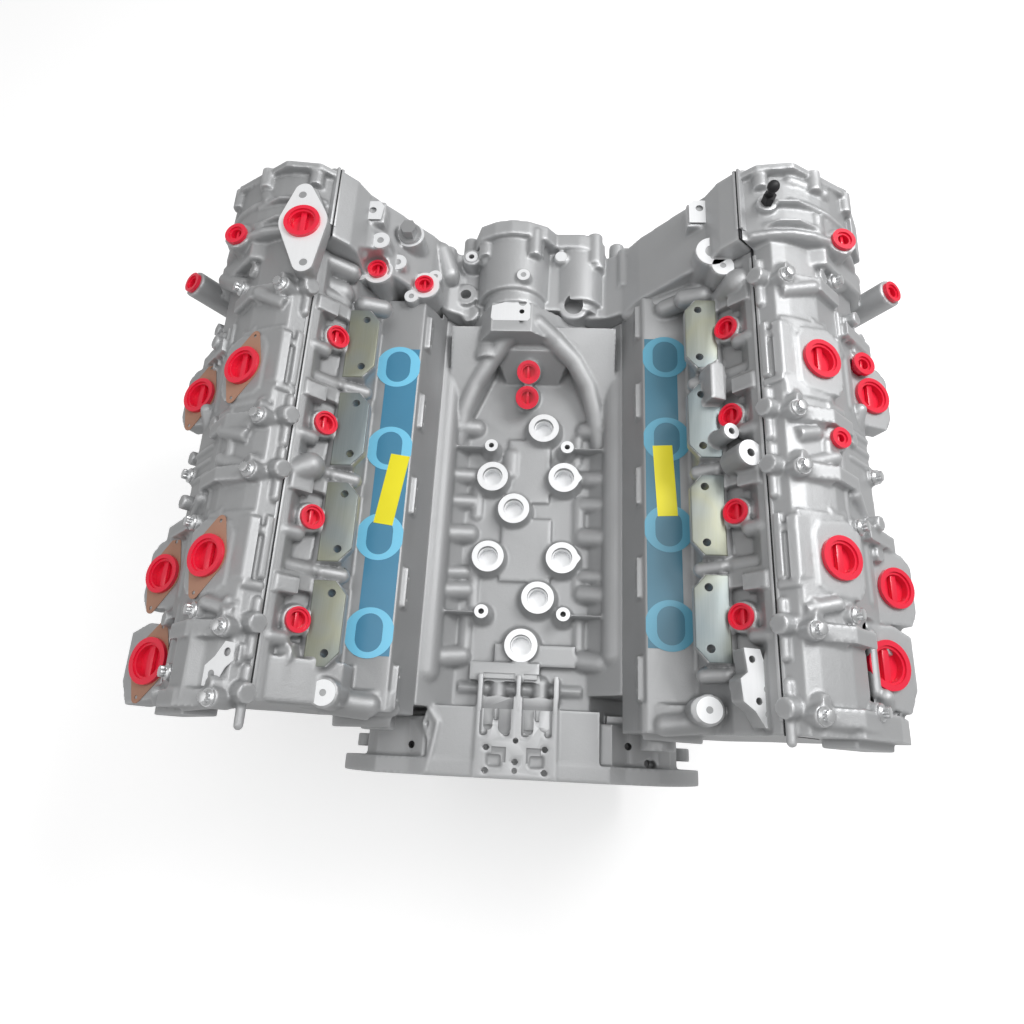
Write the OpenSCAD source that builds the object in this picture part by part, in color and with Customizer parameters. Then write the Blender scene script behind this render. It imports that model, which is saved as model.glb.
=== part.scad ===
// V8 engine, bare long block: 90 degree cast block, four-valve heads, cam covers and timing case.
// Units mm. X right, Y towards the timing end, Z up. The origin is on the crank axis at the
// block's rear face. Each bank is drawn upright and leant 45 degrees: q runs inwards to the
// valley and w runs outwards along the cylinders, both measured from the crank axis.

/* [Engine] */
// distance between neighbouring cylinders
pitch = 106; // [100:112]
// cylinder bore radius
bore_r = 46.5; // [44:48]
// crank throw, half the stroke
throw = 43; // [40:46]
// connecting rod length between centres
rod_l = 145; // [140:155]
// piston crown above its pin
crown = 31; // [28:34]
// block deck above the crank axis
deck = 220; // [218:224]
// rear cylinder of the left bank
left_y = 140; // [136:150]
// how far the right bank sits forward
stagger = 20; // [18:24]
// part to draw

/* [Hidden] */
$fn = 48;
s45 = sin(45);
pin_a = [0, 90, -90, 180];
pin_y = [for (i = [0:3]) left_y + 10 + i * pitch];
main_y = [for (i = [0:4]) left_y - 43 + i * pitch];
function cy(s, i) = left_y + (s > 0 ? stagger : 0) + i * pitch;
function bq(a) = [for (p = a) [-p[0], p[1]]];
// crank angle from the cylinder axis, pin height along it, and rod lean
function th(s, i) = pin_a[i] - 45 * s;
function pinw(s, i) = throw * cos(th(s, i)) + sqrt(rod_l * rod_l - pow(throw * sin(th(s, i)), 2));
function lean(s, i) = -asin(throw * sin(th(s, i)) / rod_l);
// valve leans, camshaft height above the seats along the valves, and the cover joint above the cams
in_t = 2; ex_t = 12;
cam_h = 138;
seat_q = 21;
roof = deck + 9;
joint = roof + cam_h + 42;
in_q = seat_q + cam_h * sin(in_t); in_w = roof + cam_h * cos(in_t);
ex_q = -seat_q - cam_h * sin(ex_t); ex_w = roof + cam_h * cos(ex_t);
// head features are drawn for a 220 deck and cover features for a 409 joint, and ride up with them
head_up = deck - 220;
cover_up = joint - 409;
rise = cover_up - head_up;
in_ph = [45, 135, -135, -45];
ex_ph = [-135, 45, -45, 135];
alu = [0.78, 0.79, 0.80];
machined = [0.90, 0.91, 0.92];
steel = [0.55, 0.56, 0.58];
red = [0.85, 0.08, 0.16];

module ext(y0, y1, p) { translate([0, y1, 0]) rotate([90, 0, 0]) linear_extrude(y1 - y0) polygon(p); }
module ycyl(x, z, y0, y1, r) { translate([x, y1, z]) rotate([90, 0, 0]) cylinder(r = r, h = y1 - y0); }
module bank(s) { if (s > 0) rotate([0, 45, 0]) children(); else mirror([1, 0, 0]) rotate([0, 45, 0]) children(); }
module side(s) { if (s > 0) children(); else mirror([1, 0, 0]) children(); }
module bext(y0, y1, a) { ext(y0, y1, bq(a)); }
module wcyl(q, y, w0, w1, r) { translate([-q, y, w0]) cylinder(r = r, h = w1 - w0); }
module qcyl(w, y, q0, q1, r) { translate([-q0, y, w]) rotate([0, -90, 0]) cylinder(r = r, h = q1 - q0); }
module vcyl(x, y, z0, z1, r) { translate([x, y, z0]) cylinder(r = r, h = z1 - z0); }
module box(x0, x1, y0, y1, z0, z1) { translate([x0, y0, z0]) cube([x1 - x0, y1 - y0, z1 - z0]); }
module slot(x, y, z0, z1, r, d) {
    vcyl(x, y - d, z0, z1, r); vcyl(x, y + d, z0, z1, r); box(x - r, x + r, y - d, y + d, z0, z1);
}
// frame standing on a cover pad that leans outwards by 20 degrees
module pad(s, x, y, z, t = 20) { side(s) translate([x, y, z]) rotate([0, t, 0]) children(); }
module on_head(s) { bank(s) translate([0, 0, head_up]) bank_back(s) children(); }
module on_cover(s) { bank(s) translate([0, 0, cover_up]) bank_back(s) children(); }
module bank_back(s) { if (s > 0) rotate([0, -45, 0]) children(); else rotate([0, -45, 0]) mirror([1, 0, 0]) children(); }
function arc(r, a0, a1, n) = [for (i = [0:n]) let (a = a0 + (a1 - a0) * i / n) [r * cos(a), r * sin(a)]];

/* [Hidden] */
// cylinder block
case_p = [[-126, -60], [126, -60], [126, 42], [163, 78], [79, 161], [-79, 161], [-163, 78], [-126, 42]];
bank_p = [[60, 150], [60, deck], [-60, deck], [-60, 108]];
bell_p = concat([[221, -60]], arc(226, -15, 46, 14), [[118, 172], [100, 181], [-100, 181], [-118, 172]],
    arc(226, 134, 195, 14), [[-221, -60]]);
rings = [[0, 144], [17, 200], [-44, 248], [44, 249], [-16, 309], [-44, 350], [44, 351], [17, 417]];
posts = [[-47, 180], [47, 180], [-47, 388], [47, 388]];

vcaps = [[-5, 453, 190], [-4, 481, 204.5]];

module valley_floor() {
    for (p = rings) vcyl(p[0], p[1], 158, 178, 19);
    for (p = posts) { vcyl(p[0], p[1], 158, 186, 8); }
    for (p = posts) side(p[0]) box(50, 97, p[1] - 1.5, p[1] + 1.5, 158, 182);
    for (y = [249, 350]) box(-30, 30, y - 1.5, y + 1.5, 158, 163);
    box(-1.5, 1.5, 225, 275, 158, 163);
    box(-1.5, 1.5, 330, 372, 158, 163);
    box(-30, 30, 222, 300, 158, 165);
    box(-26, 26, 322, 405, 158, 165);
    box(-57, 22, 104, 124, 158, 179);
    box(-30, 62, 122, 142, 158, 170);
}
module rear_deck() {
    box(-46, 44, 0, 86, 158, 183);
    for (x = [-44, -1, 42]) box(x - 2, x + 3, 84, 108, 158, 183);
    side(1) ext(0, 62, [[60, 120], [60, 172], [104, 176], [122, 160], [160, 150], [175, 130]]);
    side(-1) ext(0, 62, [[60, 120], [60, 172], [104, 176], [122, 160], [160, 150], [175, 130]]);
    side(1) ext(0, 72, [[100, 120], [100, 152], [158, 152], [166, 120]]);
    side(-1) ext(0, 50, [[104, 120], [104, 152], [150, 152], [166, 120]]);
    ycyl(-84, 168, 6, 62, 8);
    for (y = [8, 36]) { ycyl(206, 0, y - 8, y + 8, 13); ycyl(-206, 0, y - 8, y + 8, 13); }
}
module front_wall() {
    ext(520, 560, [[-92, 120], [-92, 170], [-66, 214], [-52, 236], [-2, 236], [40, 205], [92, 172], [92, 120]]);
    for (s = [-1, 1]) side(s) hull() {
        box(44, 62, 512, 530, 158, 205);
        box(80, 92, 422, 440, 158, 164);
        box(80, 98, 512, 530, 158, 178);
    }
    hull() { box(-50, 50, 512, 524, 158, 204); box(-34, 34, 488, 496, 158, 164); }
    ycyl(-58, 196, 500, 560, 16);
    for (p = vcaps) translate(p) rotate([28, 0, 0]) translate([0, 0, -40]) cylinder(r = 15, h = 39.8);
}
module cylinder_block() color(alu) difference() {
    union() {
        ext(18, 560, case_p);
        bank(-1) bext(72, 560, bank_p);
        bank(1) bext(92, 560, bank_p);
        ext(0, 18, bell_p);
        ext(18, 62, [[-200, -60], [200, -60], [196, 40], [160, 120], [110, 165], [-110, 165], [-160, 120], [-196, 40]]);
        for (s = [-1, 1]) side(s) {
            ycyl(108, 178, s > 0 ? 138 : 111, 490, 16.4);
            translate([108, s > 0 ? 138 : 111, 178]) sphere(r = 16.4);
        }
        valley_floor();
        rear_deck();
        front_wall();
        // side walls: starter pocket ribs and engine mount pads
        for (s = [-1, 1]) side(s) {
            box(118, 146, 232, 332, -48, 34);
            for (y = [150, 203, 380, 430, 480]) ext(y - 3, y + 3, [[120, -60], [134, -60], [134, 30], [150, 62], [120, 40]]);
            box(120, 136, 20, 560, -60, -46);
        }
    }
    for (s = [-1, 1], i = [0:3]) bank(s) wcyl(0, cy(s, i), 40, deck + 1, bore_r);
    for (i = [0:3]) ycyl(0, 0, main_y[i] + 12, main_y[i + 1] - 12, 94);
    box(-112, 112, 84.6, 546, -61, 0);
    ycyl(0, 0, 84, 535, 34.6);
    ycyl(0, 0, 40, 84.6, 47);
    ycyl(0, 0, 43, 58, 56);
    ycyl(0, 0, -1, 44, 172);
    ycyl(0, 0, 534, 561, 54);
    // bell pattern, mount pads and valley holes
    for (a = [20, 45, 135, 160]) rotate([0, -a, 0]) ycyl(205, 0, -1, 19, 5.5);
    for (s = [-1, 1], y = [252, 312], z = [-34, 20]) side(s) translate([147, y, z]) rotate([0, -90, 0]) cylinder(r = 5, h = 22);
    for (p = rings) vcyl(p[0], p[1], 150, 179, 12);
    for (p = posts) vcyl(p[0], p[1], 170, 187, 3.3);
    for (p = [[-33, 32], [31, 32], [-1, 18], [-33, 8], [31, 8]]) vcyl(p[0], p[1], 168, 184, 3.2);
    for (x = [-24, 22]) {
        box(x - 9, x + 9, 12, 26, 179, 184);
        box(x - 17, x - 9, 44, 87, 176, 184);
        box(x + 8, x + 16, 44, 87, 176, 184);
        box(x - 3, x + 3, 60, 87, 176, 184);
    }
    vcyl(126, 44, 140, 153, 4.5); vcyl(150, 22, 136, 153, 4.5); vcyl(-121, 31, 140, 153, 4.5);
    vcyl(-14, 549, 222, 237, 5.5); vcyl(-15, 535, 222, 237, 3.6);
    for (p = vcaps) translate(p) rotate([28, 0, 0]) translate([0, 0, -10.4]) cylinder(r = 11, h = 20);
}

// main bearing caps, shells, seals
module main_bearing_caps() color(steel) for (y = main_y) difference() {
    ext(y - 12, y + 12, [[-78, 0], [-78, -36], [-70, -50], [-34, -50],
        [-28, -57], [28, -57], [34, -50], [70, -50], [78, -36], [78, 0]]);
    ycyl(0, 0, y - 14, y + 14, 34.6);
    for (x = [-46, 46]) vcyl(x, y, -60, 1, 5.6);
}
module main_bearings() color([0.62, 0.6, 0.5]) for (y = main_y) difference() {
    ycyl(0, 0, y - 11.5, y + 11.5, 34.6);
    ycyl(0, 0, y - 12, y + 12, 32.05);
}
module main_cap_bolts() color(steel) for (y = main_y, s = [-1, 1]) {
    translate([46 * s, y, -58.3]) { cylinder(r = 8, h = 8, $fn = 6); cylinder(r = 5.4, h = 57.9); }
}
module crank_seals() {
    color([0.12, 0.12, 0.13]) difference() { ycyl(0, 0, 46, 56, 55.8); ycyl(0, 0, 45, 57, 46.4); }
    color([0.12, 0.12, 0.13]) difference() { ycyl(0, 0, 645, 652, 33.8); ycyl(0, 0, 644, 653, 24.4); }
}

// oil pan with the lower half of the bell flange
module oil_pan() color(alu) difference() {
    union() {
        ext(20, 560, [[-136, -60.4], [136, -60.4], [136, -72], [122, -76], [112, -150], [88, -182], [-88, -182],
            [-112, -150], [-122, -76], [-136, -72]]);
        ext(0, 18, concat([[218, -60.4]], arc(226, -15.6, -42, 8), [[150, -182], [-150, -182]], arc(226, -138, -164.4, 8), [[-218, -60.4]]));
        ext(18, 62, [[-198, -60.4], [198, -60.4], [186, -100], [140, -182], [-140, -182], [-186, -100]]);
        for (y = [140, 240, 340, 440]) ext(y - 3, y + 3, [[-120, -74], [120, -74], [96, -188], [-96, -188]]);
    }
    ycyl(0, 0, -1, 44, 172);
    ext(68, 550, [[-116, -50], [116, -50], [114, -76], [106, -147], [84, -176], [-84, -176], [-106, -147], [-114, -76]]);
    for (a = [-25, -45, -135, -155]) rotate([0, -a, 0]) ycyl(205, 0, -1, 19, 5.5);
    translate([60, 470, -190]) cylinder(r = 8.2, h = 20);
}
module drain_plug() color(steel) {
    translate([60, 470, -187]) { cylinder(r = 11, h = 5, $fn = 6); }
    vcyl(60, 470, -182, -172, 8);
}

// head gaskets and heads
module head_gasket(s) color([0.35, 0.36, 0.38]) bank(s) difference() {
    bext(cy(s, 0) - 64, cy(s, 3) + 64, [[58, deck], [58, deck + 1], [-58, deck + 1], [-58, deck]]);
    for (i = [0:3]) wcyl(0, cy(s, i), deck - 1, deck + 2, bore_r + 1);
}
top = 409 + rise;
tun_w = top - 35.5;
head_p = [[62, 221], [84, 271], [47.2, 307.8], [56, 345], [58, 352], [58, top - 25], [70, top - 11], [70, top], [-100, top],
    [-103, 360], [-97, 322], [-90, 308], [-90, 254], [-70, 238], [-62, 221]];
bay_p = [[50, top + 1], [50, 350 + rise], [40, 334 + rise], [-74, 330 + rise], [-92, 342 + rise], [-92, top + 1]];
module head(s) color(alu) on_head(s) difference() {
    union() {
        bank(s) bext(s > 0 ? 52 : 60, 560, head_p);
        for (i = [0:3]) {
            y = cy(s, i);
            // intake pads with two chamfered corners
            side(s) translate([0, y, 292]) linear_extrude(11) polygon([[206, -43.5], [206, 43.5], [184, 43.5],
                [172, 29], [172, -29], [184, -43.5]]);
            side(s) box(184.6, 206, y - 43.5, y + 43.5, 240, 292.5);
            side(s) ext(y - 43, y + 43, [[196, 250], [196, 303], [206, 303], [214, 290]]);
            bank(s) qcyl(tun_w, y, 50, 69, 14.5);
            bank(s) bext(y + 30, y + 46, [[56, 352], [66, 360], [70, top - 9], [56, top - 9]]);
            bank(s) qcyl(284, y, -92, -88, 30);
        }
        // stepped strip along the valley edge of the port face
        for (i = [0:4]) side(s) box(124, 136, cy(s, 0) - 76 + i * pitch, cy(s, 0) - 32 + i * pitch, 226, 246);
        // rear end: boss, bracket lugs and outlet stub
        side(s) vcyl(181, 74, 262, 291, 13);
        if (s > 0) {
            pad(1, 219, 94, 318, 20) linear_extrude(20, center = true) polygon([[-13, 34], [4, 34], [10, 14], [20, -2],
                [20, -34], [6, -36], [-4, -22], [-16, -14], [-18, 6], [-10, 12]]);
            pad(1, 206, 348.6, 312, 20) cylinder(r = 9, h = 30, center = true);
            pad(1, 220, 320, 322, 20) cylinder(r = 14, h = 34, center = true);
            pad(1, 199, 396, 306, 20) translate([0, 8, 0]) linear_extrude(24, center = true) polygon([[-9, -14], [9, -14],
                [9, 26], [0, 34], [-9, 26]]);
        } else {
            side(-1) ext(62, 104, [[170, 240], [170, 286], [232, 330], [250, 300]]);
        }
        side(s) ext(s > 0 ? 52 : 60, 80, [[120, 205], [128, 248], [176, 262], [190, 240]]);
        side(s) translate([150, s > 0 ? 52 : 60, 200]) rotate([90, 0, 0]) cylinder(r = 18, h = 16);
    }
    for (i = [0:3]) {
        y = cy(s, i);
        bank(s) {
            wcyl(0, y, 220, 229, 45.5);
            bext(y - 43, y + 43, bay_p);
            for (d = [-20, 20]) {
                for (v = [[-seat_q, -in_t, 15.5, 17], [seat_q, ex_t, 13.5, 25]])
                    translate([v[0], y + d, 229]) rotate([0, v[1], 0]) {
                        translate([0, 0, -5]) cylinder(r = v[2], h = v[3] + 8);
                        cylinder(r = 3.4, h = cam_h - 20);
                        translate([0, 0, cam_h - 40]) cylinder(r = 14.4, h = 40);
                    }
            }
            // exhaust port
            for (d = [-16, 16]) qcyl(264, y + d, -93, -18, 13);
            bext(y - 16, y + 16, [[-93, 251], [-93, 277], [-18, 277], [-18, 251]]);
            // service bore behind the pad
            qcyl(tun_w, y, 56, 70, 11.5);
            translate([0, y, 226]) cylinder(r = 7, h = 41);
            translate([0, y, 266]) cylinder(r = 10.5, h = 72 + rise);
        }
        side(s) slot(158, y, 192, 252, 16, 6);
        for (d = [-30, 30]) side(s) vcyl(187, y + d, 280, 304, 4.2);
    }
    // camshaft bores
    bank(s) for (c = [[in_q, in_w], [ex_q, ex_w]]) ycyl(-c[0], c[1] - head_up, 72, 561, 12.55);
    side(s) vcyl(181, 74, 270, 292, 3.4);
    if (s < 0) side(-1) box(118, 202, 551, 561, 190, 400);
    if (s > 0) {
        pad(1, 219, 94, 318, 20) for (p = [[-5, 24], [9, -2], [0, -13], [9, -24]]) translate([p[0], p[1], 2]) cylinder(r = 3.4, h = 12);
        pad(1, 206, 348.6, 312, 20) translate([0, 0, 4]) cylinder(r = 3.6, h = 12);
        pad(1, 220, 320, 322, 20) translate([0, 0, 4]) cylinder(r = 4.4, h = 14);
    }
    for (i = [0:4]) side(s) for (d = [-12, 12]) translate([123, cy(s, 0) - 54 + i * pitch + d, 236]) rotate([0, 90, 0]) cylinder(r = 3, h = 8);
}

// valve train
module valve(r, l) {
    cylinder(r = r, h = 2);
    translate([0, 0, 2]) cylinder(r1 = r, r2 = 3, h = 9);
    cylinder(r = 3, h = l);
}
function lift(p) = abs(p) < 60 ? 3.8 : 0;
module seat(s, i, d, q, t, ph) { bank(s) translate([-q, cy(s, i) + d, roof]) rotate([0, t, 0]) translate([0, 0, -lift(ph[i])]) children(); }
module intake_valves() color(steel) for (s = [-1, 1], i = [0:3], d = [-20, 20]) seat(s, i, d, seat_q, -in_t, in_ph) valve(15.2, cam_h - 19);
module exhaust_valves() color([0.5, 0.47, 0.44]) for (s = [-1, 1], i = [0:3], d = [-20, 20]) seat(s, i, d, -seat_q, ex_t, ex_ph) valve(13.2, cam_h - 19);
module valve_springs() color([0.3, 0.32, 0.36]) for (s = [-1, 1], i = [0:3], d = [-20, 20]) {
    bank(s) translate([-seat_q, cy(s, i) + d, roof]) rotate([0, -in_t, 0]) translate([0, 0, cam_h - 40]) spring(lift(in_ph[i]));
    bank(s) translate([seat_q, cy(s, i) + d, roof]) rotate([0, ex_t, 0]) translate([0, 0, cam_h - 40]) spring(lift(ex_ph[i]));
}
module spring(l) { difference() { cylinder(r = 11, h = 20.6 - l); translate([0, 0, -1]) cylinder(r = 7.4, h = 23); } }
module lifter() translate([0, 0, cam_h - 34]) difference() { cylinder(r = 14, h = 20.6); translate([0, 0, -1]) cylinder(r = 12.2, h = 16); }
module valve_lifters() color([0.66, 0.67, 0.69]) for (s = [-1, 1], i = [0:3], d = [-20, 20]) {
    seat(s, i, d, seat_q, -in_t, in_ph) lifter();
    seat(s, i, d, -seat_q, ex_t, ex_ph) lifter();
}
module spark_plugs() for (s = [-1, 1], i = [0:3]) bank(s) translate([0, cy(s, i), head_up]) {
    color(steel) { translate([0, 0, 231]) cylinder(r = 6.8, h = 34.8); translate([0, 0, 266]) cylinder(r = 9, h = 9, $fn = 6); }
    color([0.92, 0.92, 0.9]) translate([0, 0, 275]) cylinder(r = 4.5, h = 26);
}
module lobe(ph, w) {
    rotate([90, 0, 0]) rotate([0, 0, ph]) linear_extrude(w, center = true) polygon(concat(
        [for (a = [150:15:390]) [13 * cos(a), 13 * sin(a)]], [for (a = [30:15:150]) [6 * cos(a), 14 + 6 * sin(a)]]));
}
module camshaft(s, q, w, ph, prim) color([0.42, 0.43, 0.45]) bank(s) translate([-q, 0, w]) {
    ycyl(0, 0, s > 0 ? 84 : 80, 640, 11);
    for (i = [0:3]) ycyl(0, 0, cy(s, i) + 43.5, cy(s, i) + 62.5, 12.5);
    ycyl(0, 0, cy(s, 0) - 62, cy(s, 0) - 43.5, 12.5);
    for (i = [0:3], d = [-20, 20]) translate([0, cy(s, i) + d, 0]) lobe((q > 0 ? 182 : 168) - ph[i], 12);
    if (prim > 0) ycyl(0, 0, prim - 5, prim + 5, 40.4);
    ycyl(0, 0, 600, 610, 24.4);
    ycyl(0, 0, 613, 637, 32);
    for (a = [0:60:300]) rotate([0, a, 0]) ycyl(22, 0, 637, 640, 4);
}

// cam cover gaskets, covers and their hardware
module ring_p(a, b, y0, y1) { difference() { bext(y0, y1, a); bext(y0 + 6, y1 + 1, b); } }
module cover_gasket(s) color([0.06, 0.06, 0.07]) bank(s) translate([0, 0, cover_up]) {
    difference() {
        bext(s > 0 ? 51.6 : 59.6, 562, [[71, 409], [71, 410.4], [-101, 410.4], [-101, 409]]);
        bext(s > 0 ? 62 : 70, 563, [[58, 408], [58, 411], [-90, 411], [-90, 408]]);
    }
    difference() {
        bext(562, 652, [[95, 409], [95, 410.4], [-109, 410.4], [-109, 409]]);
        bext(561, 644, [[80, 408], [80, 411], [-94, 411], [-94, 408]]);
    }
}
cover_p = [[70, 410.4], [70, 432], [58, 441], [40, 449.5], [26, 455.5], [-62, 456], [-94, 440], [-100, 428], [-100, 410.4]];
cover_in = [[63, 409], [63, 428], [53, 436], [38, 443], [24, 449.5], [-60, 449.5], [-90, 434], [-93, 426], [-93, 409]];
front_arc = concat([[94, 410.4]], [for (a = [22:8:158]) [-8 + 102 * cos(a), 374 + 102 * sin(a)]], [[-108, 410.4]]);
front_in = concat([[84, 409]], [for (a = [24:12:156]) [-8 + 94 * cos(a), 374 + 94 * sin(a)]], [[-98, 409]]);
// two inner and two outer flanged openings per bank
function big_y(s) = s > 0 ? [212, 422] : [193, 401];
function out_y(s) = s > 0 ? [202, 418] : [189, 400];
module boss_w(q, y, w0, w1, r, h) { difference() { wcyl(q, y, w0, w1, r); wcyl(q, y, w1 - 8, w1 + 1, h); } }
function seat_y(s) = s > 0 ? [68, 141, 296, 357, 511] : [60, 123, 277, 336, 491];
module above(s) { bank(s) bext(40, 700, [[130, 410.7], [130, 600], [-120, 600], [-120, 410.7]]); }
module cam_cover(s) color(alu) on_cover(s) {
    difference() {
        union() {
            bank(s) bext(s > 0 ? 52 : 60, 566, cover_p);
            bank(s) bext(562, 652, front_arc);
            // long cast bosses that stand across the cover
            for (y = seat_y(s)) {
                pad(s, 262, y, 352, 20) cylinder(r = 9.5, h = 26, center = true);
                bank(s) wcyl(62, y + 12, 410.4, 446, 7.5);
                bank(s) bext(y - 8, y + 8, [[66, 420], [66, 442], [30, 464], [-12, 464], [-12, 440]]);
            }
            for (y = s > 0 ? [250, 480] : [236, 446]) bank(s) bext(y - 8, y + 8, [[-20, 440], [-20, 466], [-84, 464], [-104, 440]]);
            for (y = big_y(s)) {
                pad(s, 300, y, 345) translate([0, 0, -14]) linear_extrude(14) polygon([[-26, -28], [-18, -34], [20, -38],
                    [27, -24], [27, 26], [14, 38], [-20, 34], [-27, 22]]);
                bank(s) bext(y - 44, y + 44, [[69, 424], [69, 436], [46, 448.5], [22, 459], [10, 456], [20, 440]]);
                bank(s) bext(y - 30, y - 24, [[70, 411], [73, 414], [73, 434], [50, 446], [50, 430]]);
                bank(s) bext(y + 24, y + 30, [[70, 411], [73, 414], [73, 434], [50, 446], [50, 430]]);
            }
            for (y = out_y(s)) pad(s, 378, y, 276) translate([0, 0, -22]) linear_extrude(22) polygon([[-27, -26], [-14, -37],
                [18, -37], [25, -22], [25, 24], [14, 37], [-18, 37], [-27, 24]]);
            // rear end block with a large opening
            pad(s, s > 0 ? 353 : 374, s > 0 ? 122 : 98, s > 0 ? 296 : 276) translate([0, 0, -34]) linear_extrude(34) polygon([[-30, -34],
                [24, -44], [34, -20], [34, 30], [12, 40], [-22, 36], [-34, 10]]);
            if (s > 0) bank(1) bext(52, 76, [[40, 440], [30, 462], [-40, 466], [-96, 452], [-100, 420]]);
            else bank(-1) bext(60, 120, [[50, 440], [38, 460], [10, 463], [10, 440]]);
            bank(s) bext(s > 0 ? 44 : 46, 70, [[10, 412], [10, 446], [-70, 446], [-80, 412]]);
            // front end
            bank(s) bext(642, 654, [[92, 411], [90, 432], [66, 462], [-8, 482], [-84, 462], [-112, 425], [-112, 411]]);
            for (a = [33, 66, 97, 128, 153]) bank(s) ycyl(8 - 104 * cos(a), 373 + 104 * sin(a), 624, 659, 8);
            for (y = [575, 600]) bank(s) bext(y, y + 4, [[80, 420], [76, 446], [60, 462], [27, 472], [27, 440]]);
            pad(s, 330, 568, 318, 10) translate([0, 0, -23]) cylinder(r = 16, h = 52);
            pad(s, 398, 548, 262, 30) translate([0, 0, -48]) cylinder(r = 16, h = 73);
            bank(s) bext(540, 566, [[40, 440], [20, 468], [-60, 470], [-100, 446], [-100, 420]]);
            for (y = s > 0 ? [262, 500] : [262, 456]) bank(s) wcyl(-40, y, 440, 470, 8);
            for (y = [160, 330, 500]) bank(s) wcyl(-88, y, 412, 456, 8);
            if (s > 0) {
                pad(1, 310, 337, 330) translate([0, 0, -16]) cylinder(r = 13, h = 25);
                pad(1, 366, 452, 280) translate([0, 0, -25]) cylinder(r = 16, h = 31);
                bank(1) bext(590, 640, [[-30, 440], [-30, 480], [-70, 470], [-70, 440]]);
                intersection() { vcyl(252, 602, 320, 366, 11); above(1); }
            } else {
                intersection() {
                    side(-1) translate([251, 565, 322]) linear_extrude(50) polygon([[-12, -58], [2, -60], [22, -18],
                        [25, 10], [16, 44], [2, 52], [-10, 46], [-24, 14], [-24, -14]]);
                    above(-1);
                }
                pad(-1, 264, 95, 348, 20) translate([0, 0, -16]) linear_extrude(16) polygon([[-16, 14], [-4, 16], [6, 2], [16, -6],
                    [16, -24], [2, -26], [-8, -8], [-16, -2]]);
            }
        }
        bank(s) bext(s > 0 ? 60 : 68, 567, cover_in);
        bank(s) bext(560, 646, front_in);
        for (y = big_y(s)) pad(s, 300, y, 345) { translate([0, 0, -12]) cylinder(r = 17.5, h = 13); box(-28, 28, -39, 39, 0, 16); }
        for (y = out_y(s)) pad(s, 378, y, 276) { translate([0, 0, -12]) cylinder(r = 17.5, h = 13); box(-28, 28, -39, 39, 0, 16); }
        pad(s, s > 0 ? 353 : 374, s > 0 ? 122 : 98, s > 0 ? 296 : 276) {
            translate([0, 0, -16]) cylinder(r = 19.5, h = 17);
            box(-35, 36, -45, 42, 0, 16);
        }
        for (y = seat_y(s)) pad(s, 262, y, 352, 20) translate([0, 0, 6]) cylinder(r = 3.6, h = 10);
        pad(s, 330, 568, 318, 10) translate([0, 0, 17]) cylinder(r = 9.5, h = 13);
        pad(s, 398, 548, 262, 30) translate([0, 0, 12]) cylinder(r = 9.5, h = 14);
        if (s < 0) {
            side(-1) { vcyl(251, 565, 356, 373, 16.5); vcyl(256, 602, 356, 373, 4.5); vcyl(243, 513, 356, 373, 4.5); }
            pad(-1, 264, 95, 348, 20) for (p = [[-8, 6], [7, -14]]) translate([p[0], p[1], -10]) cylinder(r = 4, h = 12);
        } else {
            pad(1, 310, 337, 330) translate([0, 0, -2]) cylinder(r = 7.5, h = 12);
            pad(1, 366, 452, 280) translate([0, 0, -6]) cylinder(r = 9.5, h = 13);
        }
    }
}
module flange_bolt() { cylinder(r = 7.6, h = 1.6); cylinder(r = 5, h = 6.5, $fn = 6); translate([0, 0, -7]) cylinder(r = 3.4, h = 8); }
module cover_bolts() color([0.80, 0.80, 0.82]) for (s = [-1, 1], y = seat_y(s)) on_cover(s) pad(s, 262, y, 352, 20) translate([0, 0, 13]) flange_bolt();

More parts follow.
